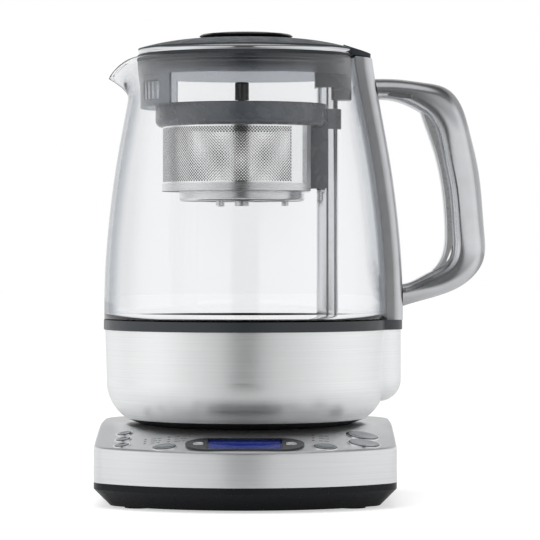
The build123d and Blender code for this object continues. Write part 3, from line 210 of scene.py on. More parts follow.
# ---------------------------------------------------------------- studio
WHITE = (1, 1, 1, 1)
FILL_LEVEL = 0.78
# what metal sees round it, as (degrees from the front towards the right, brightness):
# pale to the sides and dimmer towards the camera
STUDIO = (
    (-180, 0.80), (-142, 0.80), (-112, 0.97), (-66, 1.0), (-52, 0.80), (-36, 0.58), (-19, 0.38), (-9, 0.13),
    (8, 0.13), (18, 0.34), (45, 0.62), (72, 0.87), (96, 0.92), (116, 0.80), (140, 0.66), (180, 0.80),
)
# the same near the horizon: bright, but for a dark gap at the camera and a dimmer card to the left
HORIZON = (
    (-180, 1.0), (-140, 1.0), (-128, 0.85), (-112, 0.55), (-96, 0.85), (-80, 1.0), (-13, 1.0), (-10, 0.04),
    (9, 0.04), (12, 1.0), (180, 1.0),
)
# high up, as (upward part of the direction, brightness): a darker band draws rounded upper edges
OVERHEAD = ((0.5, 0.6), (0.66, 0.16), (0.84, 0.16), (0.93, 0.7))
# upward parts of the direction between which one of these passes into the next
HORIZON_FADE = (0.1, 0.28)
OVERHEAD_FADE = (0.5, 0.66)


def card(tree, x, y, stops):
    """Brightness of the studio in a direction in plan."""
    angle = maths(tree, "ARCTAN2", x, maths(tree, "MULTIPLY", y, -1.0))
    turn = maths(tree, "ADD", maths(tree, "DIVIDE", angle, 2 * math.pi), 0.5)
    return ramp(tree, turn, [(degrees / 360.0 + 0.5, bright) for degrees, bright in stops])


def seen_straight(tree, path):
    """1 for what the camera sees by itself or through glass."""
    return maths(tree, "MAXIMUM", path.outputs["Is Camera Ray"], path.outputs["Is Transmission Ray"])


def mirror_share(tree, path):
    """1 for a ray that comes off a mirroring surface, 0 for one that only passes through glass."""
    through = path.outputs["Is Transmission Ray"]
    bare = maths(tree, "MULTIPLY", path.outputs["Is Glossy Ray"], maths(tree, "SUBTRACT", 1.0, through))
    reflected = maths(tree, "GREATER_THAN", path.outputs["Glossy Depth"], 0.5)
    return maths(tree, "MAXIMUM", bare, maths(tree, "MULTIPLY", reflected, through))


def background(tree, colour, strength):
    """Light of the world in a colour; returns its output."""
    return add_node(tree, "ShaderNodeBackground", {"Color": colour, "Strength": strength}).outputs[0]


def make_world():
    """White to the camera and through glass, the studio to metal, and even light to all else."""
    world = bpy.data.worlds.new("studio")
    world.use_nodes = True
    tree = world.node_tree
    tree.nodes.clear()
    path = add_node(tree, "ShaderNodeLightPath")
    x, y, z = separate(tree, coordinates(tree, "Generated"))
    raised = span(tree, maths(tree, "ABSOLUTE", z), *HORIZON_FADE)
    around = mix_colours(tree, raised, card(tree, x, y, HORIZON), card(tree, x, y, STUDIO))
    studio = mix_colours(tree, span(tree, z, *OVERHEAD_FADE), around, ramp(tree, z, OVERHEAD))
    fill, white = background(tree, WHITE, FILL_LEVEL), background(tree, WHITE, 1.0)
    shown = mix_shaders(tree, seen_straight(tree, path), fill, white)
    shown = mix_shaders(tree, mirror_share(tree, path), shown, background(tree, studio, 1.0))
    add_node(tree, "ShaderNodeOutputWorld", {"Surface": shown})
    bpy.context.scene.world = world


make_world()


def new_object(name, mesh):
    """Object from a mesh, linked to the scene."""
    made = bpy.data.objects.new(name, mesh)
    bpy.context.scene.collection.objects.link(made)
    return made


FLOOR_REACH = 8.0
FLOOR_GREY = (0.62, 0.62, 0.62, 1)
FLOOR_GLOW = 0.55
GLOW_IN_METAL = 0.2
# distances from the jug between which metal passes from seeing the floor to seeing the studio
FLOOR_FADE = (0.15, 0.5)


def floor_surface():
    """Material of the floor: pale, white to the camera where it is lit, and the studio to metal far out."""
    material = bpy.data.materials.new("floor")
    material.use_nodes = True
    tree = material.node_tree
    tree.nodes.clear()
    path = add_node(tree, "ShaderNodeLightPath")
    in_metal = maths(tree, "MULTIPLY", path.outputs["Is Glossy Ray"], GLOW_IN_METAL)
    seen = maths(tree, "MAXIMUM", seen_straight(tree, path), in_metal)
    strength = maths(tree, "MULTIPLY", seen, FLOOR_GLOW)
    matt = add_node(tree, "ShaderNodeBsdfDiffuse", {"Color": FLOOR_GREY})
    glow = add_node(tree, "ShaderNodeEmission", {"Color": WHITE, "Strength": strength})
    near = add_node(tree, "ShaderNodeAddShader", {0: matt.outputs[0], 1: glow.outputs[0]})
    place = vectors(tree, "SUBTRACT", coordinates(tree), (JUG_X, JUG_Y, 0))
    x, y, _ = separate(tree, place)
    far = add_node(tree, "ShaderNodeEmission", {"Color": card(tree, x, y, STUDIO), "Strength": 1.0})
    distant = span(tree, length_of(tree, place), *FLOOR_FADE)
    share = maths(tree, "MULTIPLY", mirror_share(tree, path), distant)
    surface = mix_shaders(tree, share, near.outputs[0], far.outputs[0])
    add_node(tree, "ShaderNodeOutputMaterial", {"Surface": surface})
    return material


def make_floor():
    """Level floor, which keeps the object's shadow."""
    mesh = bpy.data.meshes.new("floor")
    corners = [(x * FLOOR_REACH, y * FLOOR_REACH, 0) for x, y in ((-1, -1), (1, -1), (1, 1), (-1, 1))]
    mesh.from_pydata(corners, [], [(0, 1, 2, 3)])
    mesh.materials.append(floor_surface())
    new_object("floor", mesh)


make_floor()


def area_light(name, place, target, size, power):
    """Soft square lamp at a place, turned to a target; metal and glass don't show it."""
    data = bpy.data.lights.new(name, "AREA")
    data.shape = "SQUARE"
    data.size = size
    data.energy = power
    lamp = bpy.data.objects.new(name, data)
    lamp.location = place
    lamp.rotation_euler = (Vector(target) - Vector(place)).to_track_quat("-Z", "Y").to_euler()
    lamp.visible_glossy = False
    lamp.visible_transmission = False
    bpy.context.scene.collection.objects.link(lamp)


area_light("lamp_top", place=(-0.3, -0.2, 1.5), target=(0, 0, 0.1), size=1.4, power=9.0)
area_light("lamp_left", place=(-1.4, -1.0, 0.7), target=(0, 0, 0.12), size=1.0, power=6.0)


# ---------------------------------------------------------------- kinds of material
def principled(name, colour, roughness, metallic=0.0, **sockets):
    """New material; returns it with its tree and its Principled BSDF."""
    material = bpy.data.materials.new(name)
    material.use_nodes = True
    tree = material.node_tree
    shader = tree.nodes["Principled BSDF"]
    shader.inputs["Base Color"].default_value = (*colour, 1.0)
    shader.inputs["Roughness"].default_value = roughness
    shader.inputs["Metallic"].default_value = metallic
    for socket, value in sockets.items():
        shader.inputs[socket.replace("_", " ")].default_value = value
    return material, tree, shader


def vary_colour(tree, shader, factor, colour, spread, low=0.3, high=0.7):
    """Let a colour run from a little darker to a little lighter with a factor."""
    dark = tuple(part * (1 - spread) for part in colour)
    light = tuple(min(part * (1 + spread), 1.0) for part in colour)
    tree.links.new(ramp(tree, factor, [(low, dark), (high, light)]), shader.inputs["Base Color"])


def vary_gloss(tree, shader, factor, smooth, rough, high=0.7):
    """Let the roughness run between two values with a factor."""
    tree.links.new(span(tree, factor, 0.3, high, smooth, rough), shader.inputs["Roughness"])


def smudge(tree, shader, smooth, rough):
    """Faint smudges in the gloss of bright metal."""
    vary_gloss(tree, shader, noise(tree, scale=90, detail=3.0, rough=0.6), smooth, rough, high=0.75)


def bump(tree, shader, height, strength, distance):
    """Drive the shader's normal from a height."""
    made = add_node(tree, "ShaderNodeBump", {"Height": height, "Strength": strength, "Distance": distance})
    tree.links.new(made.outputs["Normal"], shader.inputs["Normal"])


def crown(tree, shader, reach, bend):
    """Shade a face as curved: its height, in metres, is the square of a reach across it times a bend."""
    bump(tree, shader, maths(tree, "MULTIPLY", square(tree, reach), bend), strength=1.0, distance=1.0)


def plastic(name, colour, roughness, spread=0.06, grain=2200.0, depth=0.03, **sockets):
    """Moulded plastic: faint mottling of colour and gloss, and a fine moulded grain."""
    material, tree, shader = principled(name, colour, roughness, **sockets)
    vary_colour(tree, shader, noise(tree, scale=45, detail=3.0), colour, spread)
    vary_gloss(tree, shader, noise(tree, scale=160), roughness * 0.85, roughness * 1.15)
    bump(tree, shader, noise(tree, grain, detail=1.0), strength=depth, distance=0.0002)
    return material


def brushed(name, colour, roughness, anisotropic, flat_top=False):
    """Brushed metal: fine streaks round the part and, with flat_top, along X on its level faces."""
    material, tree, shader = principled(name, colour, roughness, 1.0, Anisotropic=anisotropic)
    streaks = noise(tree, scale=(14, 14, 2600), detail=4.0, rough=0.65)
    broad = noise(tree, scale=(5, 5, 900), offset=(3, 1, 0))
    normal = add_node(tree, "ShaderNodeNewGeometry").outputs["Normal"]
    across = vectors(tree, "NORMALIZE", vectors(tree, "CROSS_PRODUCT", normal, (0, 0, 1)))
    tangent = vectors(tree, "CROSS_PRODUCT", across, normal)
    if flat_top:
        level = span(tree, separate(tree, normal)["Z"], 0.5, 0.9)
        top_streaks = noise(tree, scale=(14, 2600, 14), detail=4.0, rough=0.65)
        streaks = mix_numbers(tree, level, streaks, top_streaks)
        side = vectors(tree, "CROSS_PRODUCT", (1, 0, 0), normal)
        tangent = vectors(tree, "NORMALIZE", mix_vectors(tree, level, tangent, side))
    tree.links.new(tangent, shader.inputs["Tangent"])
    both = maths(tree, "ADD", maths(tree, "MULTIPLY", streaks, 0.8), maths(tree, "MULTIPLY", broad, 0.2))
    vary_colour(tree, shader, both, colour, spread=0.05, low=0.35, high=0.65)
    vary_gloss(tree, shader, streaks, roughness * 0.85, roughness * 1.2)
    bump(tree, shader, streaks, strength=0.04, distance=0.00004)
    return material


def polished(name, colour, roughness):
    """Bright metal with faint smudges."""
    material, tree, shader = principled(name, colour, roughness, 1.0)
    smudge(tree, shader, roughness, roughness + 0.04)
    dark = tuple(part * 0.97 for part in colour)
    shade = ramp(tree, noise(tree, scale=30), [(0.3, dark), (0.7, colour)])
    tree.links.new(shade, shader.inputs["Base Color"])
    return material


def satin(name, colour, roughness):
    """Cast metal with a satin finish: fine even grain."""
    material, tree, shader = principled(name, colour, roughness, 1.0)
    fine = noise(tree, scale=2400)
    vary_colour(tree, shader, noise(tree, scale=60, detail=3.0), colour, spread=0.05)
    vary_gloss(tree, shader, fine, roughness * 0.9, roughness * 1.15)
    bump(tree, shader, fine, strength=0.05, distance=0.00005)
    return material


def clear(name, colour, ior, roughness, density, shade, smear=0.01, edge=None):
    """Clear or smoky material, darker with the length of the way through it; edge paints shade on it where it
    is seen edge-on.
    """
    material, tree, shader = principled(name, colour, roughness, Transmission_Weight=1.0, IOR=ior)
    vary_gloss(tree, shader, noise(tree, scale=35, detail=3.0), roughness, roughness + smear, high=0.8)
    if edge:
        # painted shade: the colour darkens as the surface turns edge-on to the view
        facing = add_node(tree, "ShaderNodeLayerWeight", {"Blend": 0.5}).outputs["Facing"]
        tree.links.new(ramp(tree, facing, edge), shader.inputs["Base Color"])
    depth = add_node(tree, "ShaderNodeVolumeAbsorption", {"Color": (*shade, 1.0), "Density": density})
    tree.links.new(depth.outputs[0], tree.nodes["Material Output"].inputs["Volume"])
    return material


# ---------------------------------------------------------------- materials made for one piece
RING_BEND = -260.0
HANDLE_BEND = -26.0
DISPLAY_RIM = 2.0 * MM
RIM_SHARE = 0.25
DISPLAY_GLOW = (1.25, 1.4)
# blue of the display from its lower to its upper edge
DISPLAY_BLUES = (
    (0.0, (0.006, 0.010, 0.06)),
    (0.14, (0.022, 0.040, 0.30)),
    (0.58, (0.022, 0.042, 0.30)),
    (0.70, (0.10, 0.14, 0.42)),
    (0.80, (0.020, 0.034, 0.22)),
    (1.0, (0.004, 0.007, 0.04)),
)


def rounded_ring(name):
    """Polished metal of the lid's ring, shaded as convex from its lower to its upper edge."""
    material, tree, shader = principled(name, (0.74, 0.75, 0.76), 0.09, 1.0)
    low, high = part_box("lid_ring")
    off_middle = maths(tree, "SUBTRACT", separate(tree, coordinates(tree))["Z"], (low.z + high.z) / 2)
    crown(tree, shader, off_middle, RING_BEND)
    smudge(tree, shader, 0.08, 0.12)
    return material


def rounded_handle(name):
    """Satin metal of the handle, whose flat sides are shaded as falling away from the insert."""
    material = satin(name, (0.66, 0.67, 0.69), roughness=0.22)
    tree = material.node_tree
    x, _, z = separate(tree, coordinates(tree))
    up = maths(tree, "SUBTRACT", z, HANDLE_MIDDLE)
    along = maths(tree, "ADD", x, maths(tree, "MULTIPLY", up, HANDLE_LEAN))
    across = maths(tree, "SUBTRACT", along, JUG_X + HANDLE_CORE + HANDLE_HALF_WIDTH)
    across = maths(tree, "MAXIMUM", across, 0.0)
    beyond = maths(tree, "SUBTRACT", maths(tree, "ABSOLUTE", up), HANDLE_HALF_HEIGHT)
    beyond = maths(tree, "MAXIMUM", beyond, 0.0)
    reach = maths(tree, "SQRT", maths(tree, "ADD", square(tree, across), square(tree, beyond)))
    away = maths(tree, "MAXIMUM", maths(tree, "SUBTRACT", reach, HANDLE_CORNER), 0.0)
    crown(tree, tree.nodes["Principled BSDF"], away, HANDLE_BEND)
    return material


def lit_display(name):
    """Backlit blue display: darker at its rim, with a paler line along its upper third."""
    material, tree, shader = principled(name, (0.01, 0.015, 0.08), 0.2)
    x, y, _ = separate(tree, coordinates(tree))
    low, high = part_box("lcd_module")
    half = (high.x - low.x) / 2
    across = maths(tree, "ABSOLUTE", maths(tree, "SUBTRACT", x, (low.x + high.x) / 2))
    sides = span(tree, across, half - DISPLAY_RIM, half, 1.0, RIM_SHARE)
    blue = ramp(tree, span(tree, y, low.y, high.y), DISPLAY_BLUES)
    cloud = span(tree, noise(tree, scale=120), 0.3, 0.7, *DISPLAY_GLOW)
    # metal doesn't mirror the backlight
    direct = maths(tree, "LESS_THAN", add_node(tree, "ShaderNodeLightPath").outputs["Glossy Depth"], 0.5)
    strength = maths(tree, "MULTIPLY", sides, maths(tree, "MULTIPLY", cloud, direct))
    tree.links.new(blue, shader.inputs["Emission Color"])
    tree.links.new(strength, shader.inputs["Emission Strength"])
    return material


def perforated_steel_painted_shade_inside(name):
    """Bright steel outside, and painted shade that makes the inner side of the basket wall dark."""
    material, tree, shader = principled(name, (0.78, 0.79, 0.80), 0.16, 1.0)
    place = vectors(tree, "SUBTRACT", coordinates(tree), (BASKET_X, JUG_Y, 0))
    radius = length_of(tree, vectors(tree, "MULTIPLY", place, (1, 1, 0)))
    outer = span(tree, radius, MESH_RADIUS - 0.6 * MESH_WALL, MESH_RADIUS - 0.2 * MESH_WALL)
    # painted shade: the inner side of the wall is made nearly black, the outer side bright
    shade = ramp(tree, outer, [(0.0, 0.05), (1.0, (0.95, 0.955, 0.96))])
    tree.links.new(shade, shader.inputs["Base Color"])
    smudge(tree, shader, 0.14, 0.22)
    return material


# ---------------------------------------------------------------- materials of the model's nodes
# colour of clear glass from where it is seen face-on to where it is seen edge-on: a faint grey tint, and
# painted shade that darkens it edge-on
GLASS_TINT_AND_EDGE_SHADE = (
    (0.0, (0.965, 0.968, 0.972)),
    (0.35, (0.955, 0.96, 0.965)),
    (0.58, (0.87, 0.88, 0.895)),
    (0.72, (0.42, 0.45, 0.49)),
    (0.84, (0.15, 0.17, 0.20)),
    (1.0, (0.08, 0.10, 0.12)),
)
# the glass takes painted shade at its edges from its edge ramp
glass = clear(
    "clear_glass", (1, 1, 1), ior=1.45, roughness=0.0, density=14.0, shade=(0.55, 0.6, 0.64),
    smear=0.004, edge=GLASS_TINT_AND_EDGE_SHADE,
)
smoke = clear(
    "smoke_plastic", (0.50, 0.52, 0.55), ior=1.35, roughness=0.22, density=60.0,
    shade=(0.40, 0.42, 0.445), smear=0.05,
)
display_glass = clear(
    "display_glass", (0.95, 0.96, 1.0), ior=1.2, roughness=0.06, density=5.0, shade=(0.8, 0.85, 1.0)
)

steel_side = brushed("brushed_steel_side", (0.94, 0.95, 0.962), roughness=0.38, anisotropic=0.7)
steel_base = brushed(
    "brushed_steel_base", (0.82, 0.83, 0.84), roughness=0.34, anisotropic=0.65, flat_top=True
)
steel_fine = brushed("fine_steel", (0.78, 0.785, 0.79), roughness=0.26, anisotropic=0.4, flat_top=True)
handle_metal = rounded_handle("handle_metal")
spine_metal = satin("satin_metal", (0.68, 0.69, 0.71), roughness=0.36)
insert_metal = satin("bright_metal", (0.86, 0.87, 0.88), roughness=0.3)
button_metal = satin("button_metal", (0.31, 0.32, 0.34), roughness=0.17)
aluminium = satin("aluminium", (0.7, 0.7, 0.71), roughness=0.35)
chrome = polished("polished_metal", (0.90, 0.905, 0.91), roughness=0.05)
post_metal = polished("post_metal", (0.72, 0.73, 0.745), roughness=0.08)
brass = polished("brass", (0.72, 0.52, 0.25), roughness=0.2)
magnet = polished("magnet", (0.4, 0.4, 0.42), roughness=0.3)
ring_metal = rounded_ring("rounded_ring")

slate = plastic("slate_plastic", (0.100, 0.112, 0.128), roughness=0.26, spread=0.02)
slate_dark = plastic("slate_dark", (0.026, 0.031, 0.037), roughness=0.34)
black = plastic("black_plastic", (0.008, 0.009, 0.010), roughness=0.35)
tray_black = plastic("tray_black", (0.004, 0.005, 0.007), roughness=0.30, grain=3000.0, IOR=1.3)
gloss_black = plastic("black_gloss", (0.006, 0.007, 0.008), roughness=0.12, depth=0.0)
bezel_grey = plastic("bezel_grey", (0.035, 0.037, 0.042), roughness=0.2, depth=0.0, IOR=1.35)
rubber = plastic("rubber", (0.012, 0.012, 0.014), roughness=0.65, grain=1500.0, depth=0.08)
seal_grey = plastic("seal_grey", (0.046, 0.052, 0.060), roughness=0.42, IOR=1.2)
board = plastic("circuit_board", (0.015, 0.12, 0.045), roughness=0.4)
display = lit_display("blue_display")

finishes = {
    steel_side: ["jug_housing"],
    steel_base: ["base_cover"],
    steel_fine: ["basket_floor", "heater_plate"],
    handle_metal: ["handle_grip"],
    spine_metal: ["handle_spine"],
    insert_metal: ["handle_insert"],
    chrome: ["button_rings", "minus_button", "plus_button"],
    ring_metal: ["lid_ring"],
    button_metal: [
        "preset_button_1", "preset_button_2", "preset_button_3", "select_button_left",
        "select_button_right", "start_button_upper", "start_button_lower",
    ],
    post_metal: ["lift_post"],
    slate: ["basket_rim", "basket_lid", "post_guide"],
    slate_dark: ["jug_collar"],
    black: [
        "jug_foot", "connector_jug", "connector_base", "post_cap", "base_chassis", "motor_bracket",
        "cord_gland",
    ],
    tray_black: ["base_tray"],
    gloss_black: ["lid_grip", "basket_knob"],
    bezel_grey: ["lcd_bezel", "tact_switches"],
    rubber: ["base_feet", "glass_seal"],
    seal_grey: ["lid_seal", "lid_dome"],
    glass: ["glass_vessel"],
    smoke: ["lid_skirt", "spout_filter"],
    display: ["lcd_module"],
    display_glass: ["lcd_window"],
    brass: ["connector_contacts", "lift_screw"],
    board: ["control_board", "power_board"],
    aluminium: [
        "heat_diffuser", "heating_element", "temperature_sensor", "lift_motor", "lift_carriage",
        "base_screws", "jug_screws", "handle_screws",
    ],
    magnet: ["basket_magnet", "carriage_magnets"],
}


def dress(thing, material):
    """Give an object one material."""
    if thing.data.materials:
        for number in range(len(thing.data.materials)):
            thing.data.materials[number] = material
    else:
        thing.data.materials.append(material)


for material, names in finishes.items():
    for name in names:
        dress(nodes[name], material)


# ---------------------------------------------------------------- mesh helpers
def make_piece(name, points, faces, material, body, slot, smooth=True):
    """Mesh piece that rides on a body."""
    mesh = bpy.data.meshes.new(name)
    mesh.from_pydata(points, [], faces)
    mesh.validate()
    if smooth:
        mesh.polygons.foreach_set("use_smooth", [True] * len(mesh.polygons))
    piece = new_object(name, mesh)
    dress(piece, material)
    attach(piece, body)
    return piece


def on_circle(radius, angles):
    """Points of a circle round the origin at some angles."""
    return [(radius * math.cos(angle), radius * math.sin(angle)) for angle in angles]


def polygon(radius, sides):
    """Corners of a regular polygon round the origin."""
    return on_circle(radius, [2 * math.pi * side / sides for side in range(sides)])


# ---------------------------------------------------------------- perforated basket wall
HOLE_SIDES = 8
BEND_STEPS = 4


def plain_outline():
    """Outline in plan of the wall beside the post: round, flat, and round again."""
    flat_end = math.acos(FLAT_X / MESH_RADIUS)
    half = MESH_RADIUS * math.sin(flat_end)
    shares = [number / BEND_STEPS for number in range(1, BEND_STEPS + 1)]
    before = [-HOLES_FROM + (HOLES_FROM - flat_end) * share for share in shares]
    after = [flat_end + (HOLES_FROM - flat_end) * share for share in shares[:-1]]
    flat = [(FLAT_X, half * share) for share in (-0.5, 0.0, 1.0)]
    return on_circle(MESH_RADIUS, before) + flat + on_circle(MESH_RADIUS, after)


class PerforatedSheet:
    """Basket wall, laid out in steps across and up, with staggered round holes."""

    def __init__(self):
        arc = (2 * math.pi - 2 * HOLES_FROM) * MESH_RADIUS
        self.columns = 2 * round(arc / HOLE_STEP / 2)
        self.step = arc / self.columns
        self.low = MESH_LOW + PLAIN_BELOW
        self.points, self.faces, self.index = [], [], {}
        self.add_holes()
        self.close_edges()
        self.close_corners()
        self.add_plain_side()

    def bend(self, across, up):
        """Place in space of a place on the sheet."""
        angle = HOLES_FROM + across * self.step / MESH_RADIUS
        x, y = MESH_RADIUS * math.cos(angle), MESH_RADIUS * math.sin(angle)
        return (BASKET_X + x, JUG_Y + y, self.low + up * HOLE_STEP)

    def point(self, across, up):
        """Number of a shared point, which lies on a half step or a whole one."""
        key = (round(across * 2), round(up * 2))
        if key not in self.index:
            self.index[key] = len(self.points)
            self.points.append(self.bend(across, up))
        return self.index[key]

    def add_face(self, across, up, outline, flip=False):
        """Face through the shared points of an outline that is drawn from a place."""
        face = [self.point(across + dx, up + dy) for dx, dy in outline]
        self.faces.append(face[::-1] if flip else face)

    def add_holes(self):
        """A diamond with a round hole at every second crossing of columns and rows."""
        rim = ((1, 0), (0.5, 0.5), (0, 1), (-0.5, 0.5), (-1, 0), (-0.5, -0.5), (0, -1), (0.5, -0.5))
        hole = polygon(HOLE_RADIUS / HOLE_STEP, HOLE_SIDES)
        for i in range(1, self.columns):
            for j in range(1, HOLE_ROWS):
                if (i + j) % 2:
                    continue
                ring = [self.point(i + dx, j + dy) for dx, dy in rim]
                start = len(self.points)
                self.points.extend(self.bend(i + dx, j + dy) for dx, dy in hole)
                for side in range(HOLE_SIDES):
                    after = (side + 1) % HOLE_SIDES
                    self.faces.append((ring[side], ring[after], start + after, start + side))

    def close_edges(self):
        """Fill what the diamonds leave along the four edges."""
        last, top = self.columns, HOLE_ROWS
        for i in range(1, last - 1, 2):
            self.add_face(i, 0, ((0, 0), (2, 0), (1.5, 0.5), (1, 1), (0.5, 0.5)))
            self.add_face(i, top, ((2, 0), (0, 0), (0.5, -0.5), (1, -1), (1.5, -0.5)))
        for j in range(1, top - 1, 2):
            self.add_face(0, j, ((0, 2), (0, 0), (0.5, 0.5), (1, 1), (0.5, 1.5)))
            self.add_face(last, j, ((0, 0), (0, 2), (-0.5, 1.5), (-1, 1), (-0.5, 0.5)))

    def close_corners(self):
        """Fill the four corners."""
        last, top = self.columns, HOLE_ROWS
        for i, j, di, dj in ((0, 0, 1, 1), (last, 0, -1, 1), (last, top, -1, -1), (0, top, 1, -1)):
            self.add_face(i, j, ((0, 0), (di, 0), (di / 2, dj / 2), (0, dj)), flip=di * dj < 0)

    def add_plain_side(self):
        """Plain wall beside the post, and the plain margins below and above."""
        rows = (0, *range(1, HOLE_ROWS, 2), HOLE_ROWS)
        places = (0, *range(1, self.columns, 2), self.columns)
        low_edge = [self.point(i, 0) for i in places]
        high_edge = [self.point(i, HOLE_ROWS) for i in places]
        grid = [[self.point(self.columns, j) for j in rows]]
        for x, y in plain_outline():
            grid.append([len(self.points) + number for number in range(len(rows))])
            self.points.extend((BASKET_X + x, JUG_Y + y, self.low + j * HOLE_STEP) for j in rows)
        grid.append([self.point(0, j) for j in rows])
        for one, other in zip(grid, grid[1:]):
            for a, b, c, d in zip(one, one[1:], other, other[1:]):
                self.faces.append((a, c, d, b))
        self.add_margin(low_edge + [line[0] for line in grid[1:-1]], MESH_LOW + LOWER_GAP, flip=False)
        self.add_margin(high_edge + [line[-1] for line in grid[1:-1]], MESH_HIGH - UPPER_GAP, flip=True)

    def add_margin(self, loop, height, flip):
        """Plain band from a closed loop of points to a height."""
        start = len(self.points)
        self.points.extend([(*self.points[number][:2], height) for number in loop])
        count = len(loop)
        for number in range(count):
            after = (number + 1) % count
            face = (start + number, start + after, loop[after], loop[number])
            self.faces.append(face[::-1] if flip else face)


sheet = PerforatedSheet()
# steel of the basket wall, with painted shade on its inner side
wall_steel_with_painted_shade = perforated_steel_painted_shade_inside("perforated_steel_painted_shade_inside")
basket_wall = make_piece(
    "basket_wall", sheet.points, sheet.faces, wall_steel_with_painted_shade, "basket", "brushed_steel", smooth=False
)
thicken = basket_wall.modifiers.new("wall", "SOLIDIFY")
thicken.thickness = MESH_WALL
thicken.offset = -1.0
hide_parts("basket_mesh")


# ---------------------------------------------------------------- glass with its pouring lip
SETTLING_ROUNDS = 60
CURVE_STEPS = 40
GLASS_COLUMNS = 288
GLASS_ROWS = 90
# power below 1 brings the rows closer together towards the mouth, and the share is left for the edge
ROW_POWER = 0.8
EDGE_SHARE = 0.008
EDGE_STEPS = 6


def knot_slopes(knots, gaps):
    """Directions at the knots, upright at the foot, with which the bend runs on through each knot."""
    slopes = [Vector((0.0, 0.0)) for _ in knots]
    slopes[0] = Vector((0.0, 1.0))
    slopes[-1] = Vector((MOUTH_SLOPE, 1.0)).normalized()
    for _ in range(SETTLING_ROUNDS):
        for number in range(1, len(knots) - 1):
            before, after = gaps[number - 1], gaps[number]
            pull = 3 * (
                (knots[number] - knots[number - 1]) * after / before
                + (knots[number + 1] - knots[number]) * before / after
            )
            rest = slopes[number - 1] * after + slopes[number + 1] * before
            slopes[number] = (pull - rest) / (2 * (before + after))
    return slopes


def glass_curve():
    """Smooth curve up the side of the glass through its knots, as (height, radius) pairs."""
    height, spread = GLASS_HIGH - GLASS_LOW, FOOT_RADIUS - MOUTH_RADIUS
    knots = [Vector((FOOT_RADIUS - spread * inward, GLASS_LOW + height * up)) for up, inward in GLASS_KNOTS]
    gaps = [(after - before).length for before, after in zip(knots, knots[1:])]
    slopes = knot_slopes(knots, gaps)
    curve = []
    for number, gap in enumerate(gaps):
        for step in range(CURVE_STEPS):
            t = step / CURVE_STEPS
            place = (
                knots[number] * (2 * t**3 - 3 * t**2 + 1)
                + slopes[number] * gap * (t**3 - 2 * t**2 + t)
                + knots[number + 1] * (3 * t**2 - 2 * t**3)
                + slopes[number + 1] * gap * (t**3 - t**2)
            )
            curve.append((place.y, place.x))
    return curve + [(knots[-1].y, knots[-1].x)]


profile = glass_curve()


def glass_radius(z):
    """Outer radius of the round glass at a height."""
    for (low, inner), (high, outer) in zip(profile, profile[1:]):
        if z <= high:
            return inner + (outer - inner) * (z - low) / (high - low)
    return profile[-1][1]


def beak(degrees):
    """Throw of a sharp beak whose sides run straight out from the round mouth, not yet scaled."""
    return 1 / math.cos(math.radians(LIP_SPREAD - degrees)) - 1 if degrees < LIP_SPREAD else 0.0


def lip_share(angle):
    """How far the lip is thrown out at an angle from its middle, from 0 to 1."""
    return beak(math.hypot(math.degrees(angle), LIP_SOFT)) / beak(LIP_SOFT)


def glass_point(angle, share, inset=0.0):
    """Radius and height of the glass at an angle from the lip, a share of its height and an inset."""
    thrown = lip_share(angle)
    top = GLASS_HIGH - LIP_DROP * thrown ** 2
    z = GLASS_LOW + (top - GLASS_LOW) * share
    up = max(0.0, (z - LIP_ROOT) / (top - LIP_ROOT))
    return glass_radius(z) + LIP_THROW * thrown * up ** LIP_FLARE - inset, z


def glass_column(angle):
    """Upright cut through the glass, up its outer wall, over the edge and down, as (radius, height) pairs."""
    shares = [(row / GLASS_ROWS) ** ROW_POWER * (1 - EDGE_SHARE) for row in range(GLASS_ROWS + 1)]
    outside = [glass_point(angle, share) for share in shares]
    inside = [glass_point(angle, share, GLASS_WALL) for share in reversed(shares)]
    middle, z = (outside[-1][0] + inside[0][0]) / 2, outside[-1][1]
    bends = [math.pi * step / EDGE_STEPS for step in range(1, EDGE_STEPS)]
    edge = [(middle + x, z + y) for x, y in on_circle(GLASS_WALL / 2, bends)]
    return outside + edge + inside


def glass_piece():
    """Points and faces of the glass as a closed shell."""
    points, faces = [], []
    for number in range(GLASS_COLUMNS):
        angle = (2 * math.pi * number / GLASS_COLUMNS + math.pi) % (2 * math.pi) - math.pi
        column = glass_column(angle)
        for radius, z in column:
            points.append((JUG_X - radius * math.cos(angle), JUG_Y - radius * math.sin(angle), z))
    count = len(column)
    for number in range(GLASS_COLUMNS):
        here, there = number * count, (number + 1) % GLASS_COLUMNS * count
        for row in range(count):
            up = (row + 1) % count
            faces.append((here + row, there + row, there + up, here + up))
    return points, faces


glass_shell = make_piece("glass_shell", *glass_piece(), glass, "jug", "clear_glass")
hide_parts("glass_vessel")


# ---------------------------------------------------------------- printed marks on the panel
MARK_LIFT = 0.05 * MM
DOT_RADIUS = 0.85 * MM
DOT_SIDES = 12
DASH_WIDTH = 1.0 * MM
DASH_GAP = 0.8 * MM
HALVINGS = 30
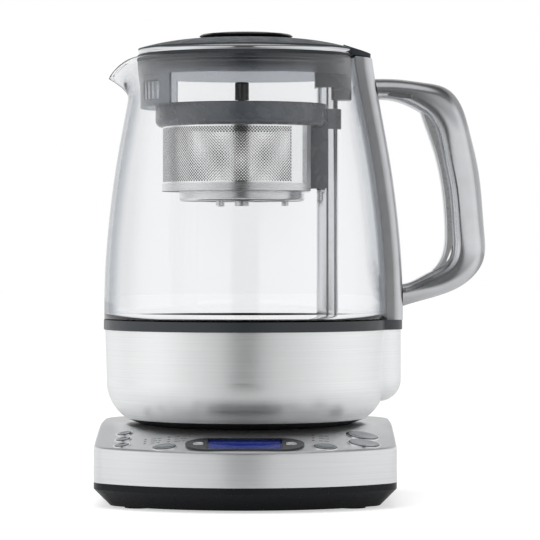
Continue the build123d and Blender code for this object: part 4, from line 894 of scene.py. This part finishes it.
# each group, in mm from the jug's axis: ink of its dots, x of its dots, y of its rows,
# x where its dashes start, and the dash lengths of each row
MARK_GROUPS = (
    ("red", -53.4, (-63.7, -68.7, -73.7), -50.2, ((2.6, 2.2), (3.2, 1.4), (2.2, 1.8))),
    ("grey", -40.7, (-62.9, -68.4, -73.8), -37.6, ((3.0, 2.4, 1.6), (2.2, 3.4), (3.4, 1.2))),
    ("red", 36.3, (-60.1, -65.9, -71.9), 39.4, ((2.4, 2.2), (3.0, 1.8), (2.0, 2.4))),
)


def slope_point(x, y):
    """Place just above the sloping top, at an x and a y from the jug's axis."""
    low, high = 0.0, 1.0
    for _ in range(HALVINGS):
        share = (low + high) / 2
        reach = CREST_RADIUS + (FRONT_REACH - CREST_RADIUS) * share
        if math.hypot(x, y - CREST_SHIFT * (1 - share)) > reach:
            low = share
        else:
            high = share
    return (JUG_X + x, JUG_Y + y, PLATEAU_HEIGHT - SLOPE_DROP * share + MARK_LIFT)


def add_mark(points, faces, outline):
    """Add a flat mark with an outline of (x, y) pairs."""
    start = len(points)
    points.extend(slope_point(x, y) for x, y in outline)
    faces.append(tuple(range(start, len(points))))


def add_dot(points, faces, x, y):
    """Add a small round mark."""
    add_mark(points, faces, [(x + dx, y + dy) for dx, dy in polygon(DOT_RADIUS, DOT_SIDES)])


def add_dash(points, faces, x, y, length):
    """Add a short line that starts at x."""
    low, high = y - DASH_WIDTH / 2, y + DASH_WIDTH / 2
    add_mark(points, faces, [(x, low), (x + length, low), (x + length, high), (x, high)])


def printed_marks():
    """Points and faces of the marks in each ink; all dashes are grey."""
    marks = {"red": ([], []), "grey": ([], [])}
    for ink, dots_x, rows_y, dashes_x, rows in MARK_GROUPS:
        for y, lengths in zip(rows_y, rows):
            add_dot(*marks[ink], dots_x * MM, y * MM)
            x = dashes_x * MM
            for length in lengths:
                add_dash(*marks["grey"], x, y * MM, length * MM)
                x += length * MM + DASH_GAP
    return marks


marks = printed_marks()
ink_grey = plastic("ink_grey", (0.10, 0.10, 0.11), roughness=0.5, depth=0.0)
ink_red = plastic("ink_red", (0.14, 0.025, 0.025), roughness=0.4, depth=0.0)
make_piece("panel_dots", *marks["red"], ink_red, "power_base", "dark_plastic", smooth=False)
make_piece("panel_marks", *marks["grey"], ink_grey, "power_base", "dark_plastic", smooth=False)
